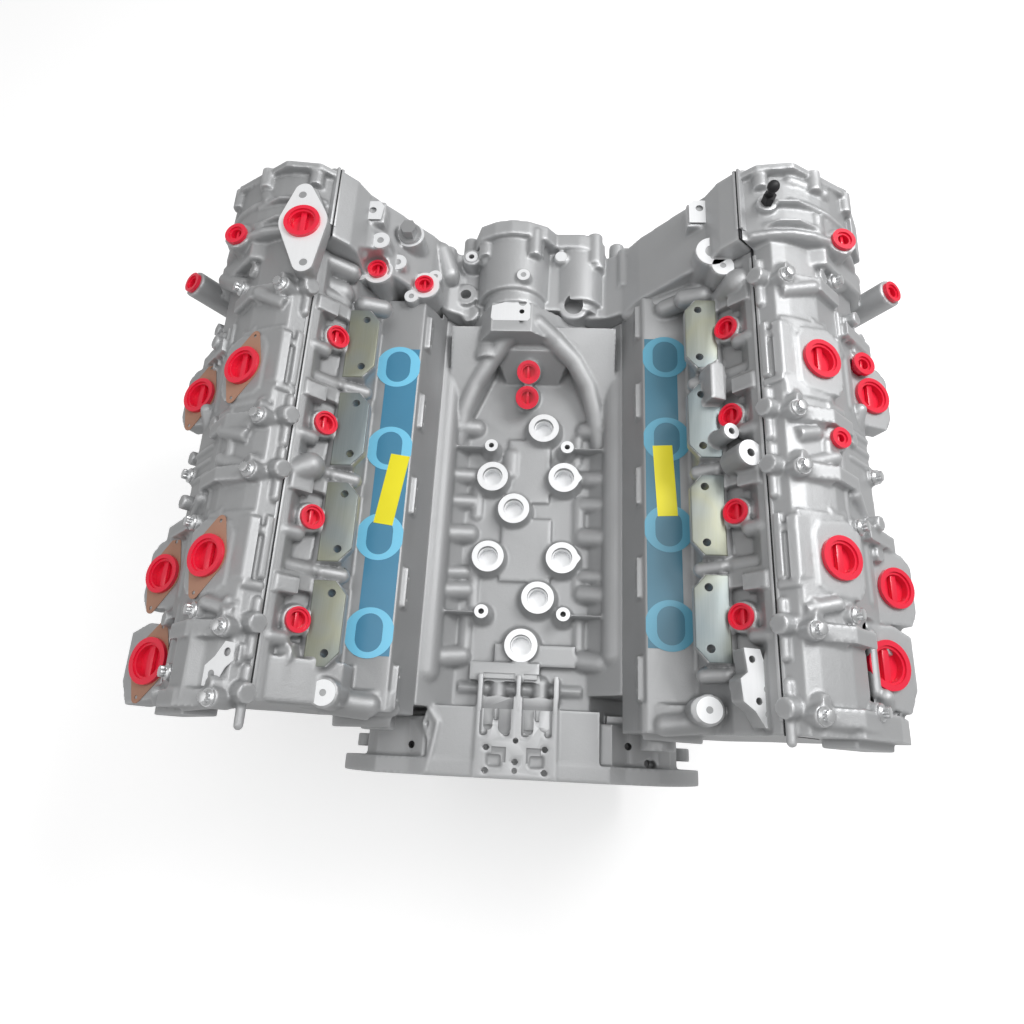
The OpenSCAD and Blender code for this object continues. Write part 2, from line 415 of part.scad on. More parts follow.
// timing case
function up(a) = [for (p = a) [p[0] + cover_up * s45, p[1] + cover_up * s45]];
fc_p = concat([[0, -60], [128, -60], [130, 0], [150, 48], [208, 74]], up([[288, 132], [344, 184], [366, 212], [222, 356],
    [206, 340], [196, 318], [166, 286]]), [[130, 246], [112, 218], [92, 206], [44, 200], [0, 206]]);
fc_cav = [[60, joint + 11], [60, joint - 57], [34, joint - 77], [30, 70], [-46, 70], [-66, 140], [-86, 200],
    [-100, joint - 109], [-101, joint + 11]];
sump_cav = [[-110, -50], [110, -50], [118, 2], [124, 50], [60, 110], [0, 80], [-60, 110], [-124, 50], [-118, 2]];
module front_cover() color(alu) difference() {
    union() {
        for (s = [-1, 1]) side(s) intersection() {
            ext(560.6, 652, fc_p);
            bank(1) bext(560, 653, [[120, -200], [120, joint], [-200, joint], [-200, -200]]);
        }
        // pump housing humps over the valley
        ycyl(-25, 200, 561, 656, 40);
        ycyl(-25, 200, 636, 662, 44);
        ycyl(56, 190, 566, 652, 28);
        ycyl(60, 190, 636, 658, 34);
        box(-25, 60, 566, 655, 150, 214);
        for (p = [[-62, 222], [-2, 240], [80, 214], [112, 196], [-70, 182]]) ycyl(p[0], p[1], 626, 664, 9);
        for (s = [-1, 1]) side(s) {
            vcyl(192, 628, 270, 316, 15);
            ycyl(116, 214, 600, 656, 10);
            ext(561, 640, [[150, 200], [150, 262], [176, 296], [196, 306], [214, 280]]);
            for (p = [[134, -40], [140, 20], [190, 62], [250, 104], [310, 152], [350, 196]]) ycyl(p[0], p[1], 600, 656, 9);
        }
        side(-1) { vcyl(153, 622, 230, 284, 17); vcyl(205, 606, 262, 300, 12); vcyl(190, 584, 262, 292, 11); }
        side(-1) { vcyl(186, 566, 230, 290, 14); vcyl(134, 566, 200, 262, 14); vcyl(160, 574, 210, 250, 12); }
        side(1) { vcyl(206, 586, 262, 300, 17); }
        vcyl(-14, 592, 230, 250, 8);
        ycyl(0, 0, 652, 658, 48);
    }
    for (s = [-1, 1]) bank(s) bext(560, 646, fc_cav);
    ext(560, 646, sump_cav);
    ycyl(0, 0, 644, 660, 33.8);
    ycyl(-25, 200, 640, 663, 30);
    vcyl(-14, 592, 238, 251, 3.6);
    side(-1) { vcyl(186, 566, 282, 291, 10); vcyl(134, 566, 254, 263, 10); vcyl(205, 606, 292, 301, 4); vcyl(190, 584, 284, 293, 4); }
    for (s = [-1, 1]) side(s) vcyl(192, 628, 304, 317, 4.4);
    side(1) vcyl(206, 582, 290, 301, 8);
    side(-1) { vcyl(186, 566, 290, 330, 15); vcyl(134, 566, 262, 300, 15); vcyl(153, 622, 284, 320, 18); }
}
module timing_chain(s, yp) color([0.45, 0.42, 0.36]) side(s) {
    x = (ex_w - ex_q) * s45; z = (ex_w + ex_q) * s45; xi = (in_w - in_q) * s45; zi = (in_w + in_q) * s45;
    translate([0, yp + 5, 0]) rotate([90, 0, 0]) linear_extrude(10) difference() {
        hull() { circle(r = 25.4); translate([x, z]) circle(r = 47.4); }
        hull() { circle(r = 18.8); translate([x, z]) circle(r = 40.8); }
    }
    translate([0, 610, 0]) rotate([90, 0, 0]) linear_extrude(10) difference() {
        hull() { translate([xi, zi]) circle(r = 31.4); translate([x, z]) circle(r = 31.4); }
        hull() { translate([xi, zi]) circle(r = 24.8); translate([x, z]) circle(r = 24.8); }
    }
}
module chain_guides() color([0.16, 0.14, 0.12]) for (s = [-1, 1]) side(s) {
    x = (ex_w - ex_q) * s45; z = (ex_w + ex_q) * s45; yp = s > 0 ? 575 : 590;
    translate([0, yp + 6, 0]) rotate([90, 0, 0]) linear_extrude(12) intersection() {
        difference() {
            hull() { circle(r = 31); translate([x, z]) circle(r = 53); }
            hull() { circle(r = 26); translate([x, z]) circle(r = 48); }
        }
        polygon([[20, 90], [110, 0], [270, 60], [210, 200]]);
    }
}

// crankshaft group
module web(a, y0, y1) { rotate([0, a, 0]) {
    translate([0, y1, 0]) rotate([90, 0, 0]) linear_extrude(y1 - y0) polygon(concat(
        [for (t = [0:15:180]) [36 * cos(t), throw + 36 * sin(t) - 4]],
        [for (t = [205:10:335]) [80 * cos(t), 80 * sin(t)]]));
} }
module crankshaft() color([0.44, 0.44, 0.46]) difference() {
    union() {
        ycyl(0, 0, 84, 110, 32);
        for (i = [1:4]) ycyl(0, 0, main_y[i] - 13, main_y[i] + 13, 32);
        for (i = [0:3]) {
            rotate([0, pin_a[i], 0]) ycyl(0, throw, pin_y[i] - 20, pin_y[i] + 20, 26);
            web(pin_a[i], pin_y[i] - 40.5, pin_y[i] - 20);
            web(pin_a[i], pin_y[i] + 20, pin_y[i] + 40.5);
        }
        ycyl(0, 0, 0, 16, 48);
        ycyl(0, 0, 16, 84, 46);
        ycyl(0, 0, 533, 690, 15.6);
        ycyl(0, 0, 534, 562, 26);
    }
    ycyl(0, 0, -1, 25, 11);
    for (a = [0:45:315]) rotate([0, a, 0]) ycyl(36, 0, -1, 15, 5);
}
module crank_sprocket() color([0.36, 0.36, 0.38]) difference() {
    union() { ycyl(0, 0, 564, 600, 18.2); ycyl(0, 0, 570, 580, 18.4); ycyl(0, 0, 585, 595, 18.4); ycyl(0, 0, 600, 640, 18); }
    ycyl(0, 0, 560, 641, 15.6);
}
module crank_damper() color([0.14, 0.14, 0.15]) difference() {
    union() {
        ycyl(0, 0, 641, 690, 24);
        ycyl(0, 0, 664, 676, 60);
        difference() { ycyl(0, 0, 660, 694, 78); for (y = [664, 669, 674, 679, 684]) difference() { ycyl(0, 0, y, y + 2.4, 79); ycyl(0, 0, y, y + 2.4, 75); }
            ycyl(0, 0, 659, 695, 58); }
    }
    ycyl(0, 0, 640, 691, 15.6);
}
module damper_bolt() color(steel) { ycyl(0, 0, 690, 693, 23); ycyl(0, 0, 693, 704, 15); }

// connecting rods and pistons
module conrod(s, i) color([0.5, 0.5, 0.52]) {
    y = cy(s, i);
    rotate([0, pin_a[i], 0]) translate([0, 0, throw]) rotate([0, lean(s, i) + 45 * s - pin_a[i], 0]) difference() {
        union() {
            ycyl(0, 0, y - 9.3, y + 9.3, 35);
            ext(y - 9, y + 9, [[-43, -14], [43, -14], [43, 14], [26, 26], [14, 50],
                [9, rod_l - 17], [-9, rod_l - 17], [-14, 50], [-26, 26], [-43, 14]]);
            ycyl(0, rod_l, y - 9, y + 9, 17.5);
        }
        ycyl(0, 0, y - 10, y + 10, 26.05);
        ycyl(0, rod_l, y - 10, y + 10, 11.8);
        ext(y - 10, y - 5, [[-9, 48], [9, 48], [5, rod_l - 25], [-5, rod_l - 25]]);
        ext(y + 5, y + 10, [[-9, 48], [9, 48], [5, rod_l - 25], [-5, rod_l - 25]]);
    }
}
module bank_box(y, w) { box(-15, 15, y - 17, y + 17, w - 15, w + 26); }
module piston(s, i) {
    y = cy(s, i); w = pinw(s, i);
    color([0.72, 0.72, 0.73]) bank(s) difference() {
        wcyl(0, y, w - 22, w + crown, bore_r - 0.5);
        difference() {
            wcyl(0, y, w - 23, w + 20, 39);
            for (d = [-1, 1]) bank_box(y + d * 28, w);
        }
        for (d = [6, 11.5, 17]) difference() { wcyl(0, y, w + crown - d - 2, w + crown - d, bore_r + 1); wcyl(0, y, w + crown - d - 3, w + crown, bore_r - 4.5); }
        ycyl(0, w, y - 47, y + 47, 11);
        wcyl(0, y, w + crown - 1.5, w + crown + 1, 30);
    }
    color(steel) bank(s) ycyl(0, w, y - 27, y + 27, 10.98);
    color([0.35, 0.35, 0.36]) bank(s) for (d = [6, 11.5, 17]) difference() {
        wcyl(0, y, w + crown - d - 1.8, w + crown - d - 0.2, bore_r - 0.05);
        wcyl(0, y, w + crown - d - 3, w + crown, bore_r - 4.2);
    }
}

// plugs, caps, films and stickers
module valley_plugs() color([0.7, 0.7, 0.68]) for (p = rings) difference() { vcyl(p[0], p[1], 160, 173, 11.95); vcyl(p[0], p[1], 162, 174, 10.4); }
module cap(r, c) { difference() { union() { cylinder(r = r, h = 4); translate([0, 0, -8]) cylinder(r = c, h = 9); } translate([0, 0, -5]) cylinder(r = c - 3, h = 10);
    translate([0, 0, 2]) cylinder(r = c - 0.5, h = 3); } }
module small_caps() color(red) for (s = [-1, 1]) {
    for (i = [0:3]) bank(s) translate([-69.2, cy(s, i), tun_w + head_up]) rotate([0, -90, 0]) cap(13, 11.2);
    on_cover(s) {
        pad(s, 330, 568, 318, 10) translate([0, 0, 29.2]) cap(13, 9.2);
        pad(s, 398, 548, 262, 30) translate([0, 0, 25.2]) cap(12.5, 9.2);
        if (s > 0) pad(1, 310, 337, 330) translate([0, 0, 9.2]) cap(11, 7.2);
        if (s > 0) pad(1, 366, 452, 280) translate([0, 0, 6.2]) cap(13.5, 9.2);
    }
    if (s < 0) side(-1) { translate([186, 566, 290.2]) cap(11.5, 9.6); translate([134, 566, 262.2]) cap(11.5, 9.6); }
}
module large_caps() color(red) for (s = [-1, 1]) on_cover(s) {
    for (y = big_y(s)) pad(s, 300, y, 345) translate([0, 0, s < 0 ? 1 : 0.2]) cap(21.5, 17.2);
    for (y = out_y(s)) pad(s, 378, y, 276) translate([0, 0, s < 0 ? 1 : 0.2]) cap(21, 17.2);
    pad(s, s > 0 ? 353 : 374, s > 0 ? 122 : 98, s > 0 ? 296 : 276) translate([0, 0, s < 0 ? 1 : 0.2]) cap(24, 19.2);
    if (s < 0) side(-1) translate([251, 565, 372.2]) cap(20, 16.2);
}
module valley_caps() color(red) for (p = vcaps) translate(p) rotate([28, 0, 0]) cap(14.5, 10.7);
module port_gaskets() color([0.50, 0.36, 0.28]) for (y = concat(big_y(-1), [-189, -400, 98])) {
    x = y < 0 ? 378 : (y == 98 ? 374 : 300); z = y < 0 || y == 98 ? 276 : 345; r = y == 98 ? 20 : 18;
    on_cover(-1) pad(-1, x, abs(y), z) difference() {
        linear_extrude(0.8) polygon([[-25, -24], [-16, -33], [18, -37], [25, -22], [25, 24], [13, 37], [-17, 33], [-25, 21]]);
        translate([0, 0, -1]) cylinder(r = r, h = 3);
    }
}
module port_film(s) color([0.42, 0.72, 0.86]) on_head(s) side(s) {
    for (i = [0:3]) translate([158, cy(s, i), 251.05]) cylinder(r = 25.8, h = 0.5);
    box(134, 171.6, cy(s, 0) - 24, cy(s, 3) + 24, 251.05, 251.5);
}
module stickers() color([0.95, 0.85, 0.05]) {
    on_head(-1) side(-1) translate([150, 302, 251.6]) rotate([0, 0, 8]) box(-11, 11, -42, 42, 0, 0.3);
    on_head(1) side(1) translate([155, 322, 251.6]) rotate([0, 0, 3]) box(-11, 11, -42, 42, 0, 0.3);
}
module ball_stud() color([0.08, 0.08, 0.09]) on_cover(1) translate([252, 602, 366.3]) {
    cylinder(r = 7, h = 10, $fn = 6);
    translate([0, 0, 10]) cylinder(r = 3.6, h = 12);
    translate([0, 0, 22]) sphere(r = 6.5);
}
module idler_bolt() color([0.62, 0.62, 0.6]) translate([-153, 622, 284]) { cylinder(r = 14, h = 4); translate([0, 0, 4]) cylinder(r = 10, h = 12, $fn = 6); }
module pipe_stubs() color([0.7, 0.71, 0.72]) for (p = [[300, 414, 5], [262, 262, 5], [250, 228, 5]]) {
    bank(-1) translate([0, p[1], cover_up]) qcyl(430, 0, -136, -100.2, p[2]);
}

cylinder_block();
main_bearing_caps();
main_bearings();
main_cap_bolts();
crank_seals();
oil_pan();
drain_plug();
head_gasket(-1);  // head_gasket_left
head_gasket(1);  // head_gasket_right
head(-1);  // head_left
head(1);  // head_right
cover_gasket(-1);  // cover_gasket_left
cover_gasket(1);  // cover_gasket_right
cam_cover(-1);  // cam_cover_left
cam_cover(1);  // cam_cover_right
cover_bolts();
front_cover();
timing_chain(-1, 590);  // timing_chain_left
timing_chain(1, 575);  // timing_chain_right
chain_guides();
intake_valves();
exhaust_valves();
valve_springs();
valve_lifters();
spark_plugs();
camshaft(-1, in_q, in_w, in_ph, 0);  // camshaft_in_left
camshaft(-1, ex_q, ex_w, ex_ph, 590);  // camshaft_ex_left
camshaft(1, in_q, in_w, in_ph, 0);  // camshaft_in_right
camshaft(1, ex_q, ex_w, ex_ph, 575);  // camshaft_ex_right
crankshaft();
crank_sprocket();
crank_damper();
damper_bolt();
valley_plugs();
small_caps();
large_caps();
valley_caps();
port_gaskets();
port_film(-1);  // port_film_left
port_film(1);  // port_film_right
stickers();
ball_stud();
idler_bolt();
pipe_stubs();
for (i = [0:7]) {
    conrod(i % 2 == 0 ? -1 : 1, floor(i / 2));
    piston(i % 2 == 0 ? -1 : 1, floor(i / 2));
}
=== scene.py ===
"""Dresses the V8 long block: cast housings, machined faces, caps, film, bolts and a plain studio."""
import math

import bpy
from mathutils import Matrix, Vector


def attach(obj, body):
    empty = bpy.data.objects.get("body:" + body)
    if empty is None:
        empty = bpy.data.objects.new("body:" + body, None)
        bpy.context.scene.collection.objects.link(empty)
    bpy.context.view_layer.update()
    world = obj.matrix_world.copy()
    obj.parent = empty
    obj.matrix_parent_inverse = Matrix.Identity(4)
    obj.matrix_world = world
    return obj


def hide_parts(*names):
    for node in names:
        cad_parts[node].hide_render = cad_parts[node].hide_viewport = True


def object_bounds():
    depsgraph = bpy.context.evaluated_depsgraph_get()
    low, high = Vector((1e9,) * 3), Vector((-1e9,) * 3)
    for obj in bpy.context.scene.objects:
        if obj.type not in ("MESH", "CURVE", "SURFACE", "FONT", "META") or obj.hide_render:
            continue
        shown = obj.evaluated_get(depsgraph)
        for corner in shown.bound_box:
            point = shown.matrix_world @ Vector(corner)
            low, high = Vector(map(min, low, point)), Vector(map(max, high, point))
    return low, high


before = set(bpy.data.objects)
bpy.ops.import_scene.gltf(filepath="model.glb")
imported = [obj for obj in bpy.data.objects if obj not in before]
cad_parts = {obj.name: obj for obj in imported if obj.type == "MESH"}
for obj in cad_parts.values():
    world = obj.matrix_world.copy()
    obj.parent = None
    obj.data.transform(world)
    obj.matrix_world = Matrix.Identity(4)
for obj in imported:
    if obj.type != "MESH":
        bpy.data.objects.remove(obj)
cad_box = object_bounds()

MM = 0.001
ROOT2 = math.sqrt(2)
MERGE = 1e-5  # corners of a CAD mesh closer than this are one corner, in metres
MOST_TRIANGLES = 180000  # a casting with more is thinned out
CAST_ANGLE = 38  # edges of castings flatter than this are shaded smooth, in degrees
SUNK = 0.2  # how far a machined face starts below the face it lies on


# Measures of the engine in millimetres, for the left bank (-1) and the right bank (1)

CYLINDERS = {-1: (140, 246, 352, 458), 1: (160, 266, 372, 478)}
SCREW_ROWS = {-1: (60, 123, 277, 336, 491), 1: (68, 141, 296, 357, 511)}
# capped openings of the covers: out, along and up; two on the crown, two outside, the wide one at the rear
OPENINGS = {-1: ((300, 193, 345), (300, 401, 345), (378, 189, 276), (378, 400, 276), (374, 98, 276)),
    1: ((300, 212, 345), (300, 422, 345), (378, 202, 276), (378, 418, 276), (353, 122, 296))}
PORT_X = 158
SERVICE_W = 373.5  # how far out of the crank axis the service bores of the heads lie
VALLEY_FLOOR = 156
RINGS = [(0, 144), (17, 200), (-44, 248), (44, 249), (-16, 309), (-44, 350), (44, 351), (17, 417)]
POSTS = [(-47, 180), (47, 180), (-47, 388), (47, 388)]
TEARDROP_X, TEARDROP_Y = -251, 565


# Places

def bank(side):
    """Maps inwards, along and outwards of a cylinder bank to the engine."""
    return lambda q, y, w: Vector((side * (w - q) / ROOT2, y, (w + q) / ROOT2))


def leaning(side, x, y, z, lean=20):
    """Maps out, along and up of a face that leans outwards to the engine."""
    c, s = math.cos(math.radians(lean)), math.sin(math.radians(lean))
    return lambda u, v, n: Vector((side * (x + u * c + n * s), y + v, z - u * s + n * c))


def upright(x, y, z=0):
    """Maps across, along and up of a level face to the engine."""
    return lambda u, v, n: Vector((x + u, y + v, z + n))


def V(x, y, z):
    """A point or a direction of the engine."""
    return Vector((x, y, z))


# Modelling steps

def pick(*objects):
    """Selects objects alone and makes the last one active."""
    bpy.ops.object.select_all(action="DESELECT")
    for o in objects:
        o.select_set(True)
    bpy.context.view_layer.objects.active = objects[-1]


def in_edit_mode(o, *steps):
    """Runs mesh steps on the whole of an object."""
    pick(o)
    bpy.ops.object.mode_set(mode="EDIT")
    bpy.ops.mesh.select_all(action="SELECT")
    for step, settings in steps:
        step(**settings)
    bpy.ops.object.mode_set(mode="OBJECT")


def rod(a, b, r, r2=None, sides=32):
    """A round bar from a to b; r2 makes it taper."""
    along = b - a
    bpy.ops.object.select_all(action="DESELECT")
    bpy.ops.mesh.primitive_cone_add(vertices=sides, radius1=r * MM, radius2=(r if r2 is None else r2) * MM,
        depth=along.length * MM, location=(a + b) / 2 * MM,
        rotation=along.to_track_quat("Z", "Y").to_euler())
    return bpy.context.object


def ball(p, r):
    """A round end or corner for a ridge."""
    bpy.ops.object.select_all(action="DESELECT")
    bpy.ops.mesh.primitive_uv_sphere_add(segments=24, ring_count=12, radius=r * MM, location=p * MM)
    return bpy.context.object


def plate(points, rise):
    """A flat outline of points, thickened by the vector rise."""
    bpy.ops.object.select_all(action="DESELECT")
    bpy.ops.mesh.primitive_circle_add(vertices=len(points), radius=1, fill_type="NGON")
    o = bpy.context.object
    for v, p in zip(o.data.vertices, points):
        v.co = p * MM
    in_edit_mode(o,
        (bpy.ops.mesh.extrude_region_move, {"TRANSFORM_OT_translate": {"value": rise * MM}}),
        (bpy.ops.mesh.select_all, {"action": "SELECT"}),
        (bpy.ops.mesh.normals_make_consistent, {"inside": False}))
    return o


def box(x, y, z):
    """A block between two corners given as pairs along each direction."""
    return plate([V(x[0], y[0], z[0]), V(x[1], y[0], z[0]), V(x[1], y[1], z[0]), V(x[0], y[1], z[0])],
        V(0, 0, z[1] - z[0]))


def ridge(points, r):
    """A rounded cast ridge through a row of points."""
    return [rod(a, b, r) for a, b in zip(points, points[1:])] + [ball(p, r) for p in points]


def wrapped(*circles):
    """The outline of a belt pulled round circles given as across, along, radius."""
    points = sorted((u + r * math.cos(a / 20 * math.pi), v + r * math.sin(a / 20 * math.pi))
        for u, v, r in circles for a in range(40))
    sides = []
    for row in (points, points[::-1]):
        side = []
        for p in row:
            while len(side) > 1 and ((side[-1][0] - side[-2][0]) * (p[1] - side[-2][1])
                    - (side[-1][1] - side[-2][1]) * (p[0] - side[-2][0])) <= 0:
                side.pop()
            side.append(p)
        sides += side[:-1]
    return sides


def drill(o, at, u, v, n, r):
    """A round hole through a thin face at height n."""
    carve(o, rod(at(u, v, n - 2), at(u, v, n + 4), r))


def washer(at, u, v, n, r, hole, thick=0.5):
    """A flat machined ring lying on a face."""
    disc = rod(at(u, v, n - SUNK), at(u, v, n + thick), r, sides=40)
    if hole:
        drill(disc, at, u, v, n, hole)
    return disc


def flange(at, outline, n, holes=(), thick=0.5):
    """A flat machined face of any outline with round holes."""
    o = plate([at(u, v, n - SUNK) for u, v in outline], at(0, 0, thick + SUNK) - at(0, 0, 0))
    for u, v, hole in holes:
        drill(o, at, u, v, n, hole)
    return o


def join(objects, name):
    """Makes one object of several, with its places in its mesh."""
    pick(*objects)
    bpy.ops.object.join()
    o = bpy.context.object
    bpy.ops.object.transform_apply(location=True, rotation=True, scale=True)
    o.name = name
    return o


def assemble(parts, name, angle=35):
    """Joins parts into one piece and smooths the edges flatter than an angle."""
    o = join(parts, name)
    bpy.ops.object.shade_smooth_by_angle(angle=math.radians(angle))
    return o


def modify(o, kind, **settings):
    """Adds a modifier and applies it."""
    m = o.modifiers.new(kind.lower(), kind)
    for key, value in settings.items():
        setattr(m, key, value)
    pick(o)
    bpy.ops.object.modifier_apply(modifier=m.name)


def carve(o, cutter, operation="DIFFERENCE"):
    """Cuts a shape out of an object, and uses the shape up."""
    modify(o, "BOOLEAN", operation=operation, solver="MANIFOLD", object=cutter)
    bpy.data.objects.remove(cutter)


def round_edges(o, width, segments=2):
    """Breaks the sharp edges of a piece."""
    modify(o, "BEVEL", width=width * MM, segments=segments, limit_method="ANGLE")


def cad_copy(node):
    """A merged copy of a CAD node that can be reshaped."""
    o = bpy.data.objects.new(node + "_copy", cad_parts[node].data.copy())
    bpy.context.scene.collection.objects.link(o)
    o.data.materials.clear()
    in_edit_mode(o, (bpy.ops.mesh.remove_doubles, {"threshold": MERGE}))
    return o


def soften(o, grain, passes):
    """Turns a stack of overlapping forms into one casting with blended corners."""
    modify(o, "REMESH", mode="VOXEL", voxel_size=1 * grain * MM)
    modify(o, "SMOOTH", factor=0.5, iterations=passes)


def thin_out(o):
    """Brings a casting under the most triangles a piece may have, and smooths its shading."""
    count = sum(len(p.vertices) - 2 for p in o.data.polygons)
    if count > MOST_TRIANGLES:
        modify(o, "DECIMATE", ratio=MOST_TRIANGLES / count)
    pick(o)
    bpy.ops.object.shade_smooth_by_angle(angle=math.radians(CAST_ANGLE))


def place(o, material, nodes=()):
    """Gives a piece that rides on the engine its finish, and hides the nodes it replaces."""
    o.data.materials.clear()
    o.data.materials.append(material)
    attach(o, "engine")
    if nodes:
        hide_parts(*nodes)


# Finishes

class Value:
    """A shader socket that takes part in sums."""

    def __init__(self, finish, socket):
        self.finish, self.socket = finish, socket

    def maths(self, operation, other):
        return self.finish.node("ShaderNodeMath", {"operation": operation}, {0: self, 1: other})

    def __add__(self, other):
        return self.maths("ADD", other)

    def __mul__(self, other):
        return self.maths("MULTIPLY", other)

    __radd__, __rmul__ = __add__, __mul__


class Finish:
    """A material built node by node."""

    def __init__(self, name, **constants):
        self.material = bpy.data.materials.new(name)
        self.material.use_nodes = True
        self.tree = self.material.node_tree
        self.shader = self.tree.nodes["Principled BSDF"]
        self.coords = self.node("ShaderNodeTexCoord", {}, {}, "Object")
        for key, value in constants.items():
            self.set(key.replace("_", " "), value)

    def put(self, socket, value):
        """Links or writes what a socket gets; None leaves it as it is."""
        if isinstance(value, Value):
            self.tree.links.new(value.socket, socket)
        elif value is not None:
            socket.default_value = value

    def node(self, kind, settings, sockets, out=0):
        """Adds a node with its settings and sockets, and gives one of its outputs."""
        n = self.tree.nodes.new(kind)
        for key, value in settings.items():
            if key == "stops":
                ramp = n.color_ramp.elements
                while len(ramp) < len(value):
                    ramp.new(0.5)
                for element, (position, colour) in zip(ramp, value):
                    element.position, element.color = position, (*colour, 1)
            else:
                setattr(n, key, value)
        for key, value in sockets.items():
            self.put(n.inputs[key], value)
        return Value(self, n.outputs[out])

    def set(self, key, value):
        self.put(self.shader.inputs[key], value)

    def noise(self, scale, detail=3, rough=0.5, coords=None):
        return self.node("ShaderNodeTexNoise", {}, {"Vector": coords or self.coords, "Scale": scale,
            "Detail": detail, "Roughness": rough})

    def stretched(self, x, y, z):
        return self.node("ShaderNodeMapping", {}, {"Vector": self.coords, "Scale": (x, y, z)})

    def ramp(self, value, *stops):
        return self.node("ShaderNodeValToRGB", {"stops": stops}, {0: value})

    def mix(self, factor, a, b):
        return self.node("ShaderNodeMix", {"data_type": "RGBA"}, {0: factor, 6: a, 7: b}, 2)

    def bump(self, height, distance, strength):
        self.set("Normal", self.node("ShaderNodeBump", {}, {"Height": height, "Distance": distance,
            "Strength": strength}))

    def corners(self):
        """Goes from 0 in hollows to 1 on ridges."""
        pointed = self.node("ShaderNodeNewGeometry", {}, {}, "Pointiness")
        return self.node("ShaderNodeMapRange", {}, {0: pointed, 1: 0.44, 2: 0.6, 3: 0.0, 4: 1.0})


def grey(v, warm=0.0):
    """A grey of brightness v, a little warmer or colder."""
    return (v * (1 + warm), v, v * (1 - warm), 1)


def cast_finish(name, dark, pale, metal=0.55, rough=0.42):
    """Shot-blasted casting: fine grain, faint blotches, painted shade in the hollows and paler ridges."""
    f = Finish(name)
    grain = f.noise(900, 4, 0.65)
    blotch = f.noise(14, 4, 0.6)
    ridge = f.corners()
    tone = f.mix(blotch, grey(dark, -0.012), grey(pale, -0.012))
    # painted shade: hollows, found by pointiness, get a much darker colour
    painted_hollow_shade = f.mix(0.55, tone, grey(dark * 0.32, -0.02))
    # ridges and edges get a paler colour
    paler_ridge = f.mix(0.5, tone, grey(0.84, -0.01))
    f.set("Base Color", f.mix(ridge, painted_hollow_shade, paler_ridge))
    f.set("Roughness", rough + blotch * 0.12)
    f.set("Metallic", metal)
    f.bump(grain + f.noise(260, 3) * 0.8, 0.00035, 0.55)
    return f.material


def milled_finish(name, tone, rough, metal):
    """A face cut by a mill: bright, with faint tool lines."""
    f = Finish(name)
    cut = f.noise(1.0, 2, 0.5, f.stretched(900, 18, 900))
    f.set("Base Color", f.mix(cut, grey(tone * 0.93, -0.01), grey(tone, -0.01)))
    f.set("Roughness", rough + cut * 0.14)
    f.set("Metallic", metal)
    f.bump(cut, 0.00006, 0.3)
    return f.material


def plain_finish(name, colour, rough=0.4, metal=0.0, grain=300, depth=0.0001, spread=0.06, **more):
    """A plain finish with fine grain and a slight change of tone."""
    f = Finish(name, **more)
    n = f.noise(grain, 3)
    shade = f.noise(25, 3)
    f.set("Base Color", f.mix(shade, tuple(c * (1 - spread) for c in colour) + (1,),
        tuple(min(1, c * (1 + spread)) for c in colour) + (1,)))
    f.set("Roughness", rough + n * 0.08)
    f.set("Metallic", metal)
    f.bump(n, depth, 0.4)
    return f.material


def pad_finish():
    """Milled intake pad with the faint blue and straw tints of its wash."""
    f = Finish("intake_pad_steel_grey")
    tint = f.noise(9, 2, 0.5)
    cut = f.noise(1.0, 2, 0.5, f.stretched(900, 14, 900))
    colour = f.ramp(tint, (0.30, (0.16, 0.21, 0.23)), (0.47, (0.21, 0.245, 0.24)),
        (0.6, (0.27, 0.28, 0.20)), (0.75, (0.24, 0.28, 0.30)))
    f.set("Base Color", f.mix(cut * 0.35, colour, grey(0.38)))
    f.set("Roughness", 0.34 + cut * 0.12)
    f.set("Metallic", 0.55)
    f.bump(cut, 0.00005, 0.3)
    return f.material


def film_finish(name, colour, alpha):
    """Thin blue protective film with soft creases."""
    f = Finish(name, Roughness=0.28)
    crease = f.noise(40, 4, 0.6)
    f.set("Base Color", f.mix(crease, tuple(c * 0.94 for c in colour) + (1,), colour + (1,)))
    f.set("Alpha", alpha)
    f.bump(crease, 0.0006, 0.25)
    return f.material


ALUMINIUM = cast_finish("cast_aluminium", 0.50, 0.62)
HEAD_CAST = cast_finish("cast_aluminium_head", 0.35, 0.46)
# painted shade: the left cover gets a darker copy of the cast aluminium, for the left bank lying away from the
# key lamp
LEFT_COVER_SHADED_CAST = cast_finish("cast_aluminium_left_painted_shade", 0.38, 0.50)
VALLEY_CAST = cast_finish("cast_aluminium_block", 0.42, 0.53, 0.5, 0.48)
MACHINED = milled_finish("machined_aluminium", 0.90, 0.30, 0.25)
PAD = pad_finish()
STEEL = milled_finish("turned_steel", 0.52, 0.25, 0.95)
DARK_STEEL = milled_finish("dark_steel", 0.30, 0.35, 0.9)
ZINC = milled_finish("zinc_plated_steel", 0.74, 0.26, 0.95)
WASHED_STEEL = milled_finish("washed_steel", 0.45, 0.42, 0.8)
RED = plain_finish("red_plastic_cap", (0.80, 0.012, 0.045), 0.30, Coat_Weight=0.35)
BLACK = plain_finish("black_rubber", (0.012, 0.012, 0.014), 0.5)
PAPER = plain_finish("brown_gasket_paper", (0.38, 0.205, 0.14), 0.7, 0.0, 500, 0.0002, 0.12)
YELLOW = plain_finish("yellow_sticker", (0.90, 0.80, 0.01), 0.35)
FILM_LEFT = film_finish("blue_film_left", (0.075, 0.27, 0.43), 0.96)
FILM_RIGHT = film_finish("blue_film_right", (0.075, 0.22, 0.31), 0.95)
FILM_LOBE_LEFT = film_finish("blue_film_lobe_left", (0.22, 0.66, 0.92), 0.97)
FILM_LOBE_RIGHT = film_finish("blue_film_lobe_right", (0.13, 0.40, 0.55), 0.97)
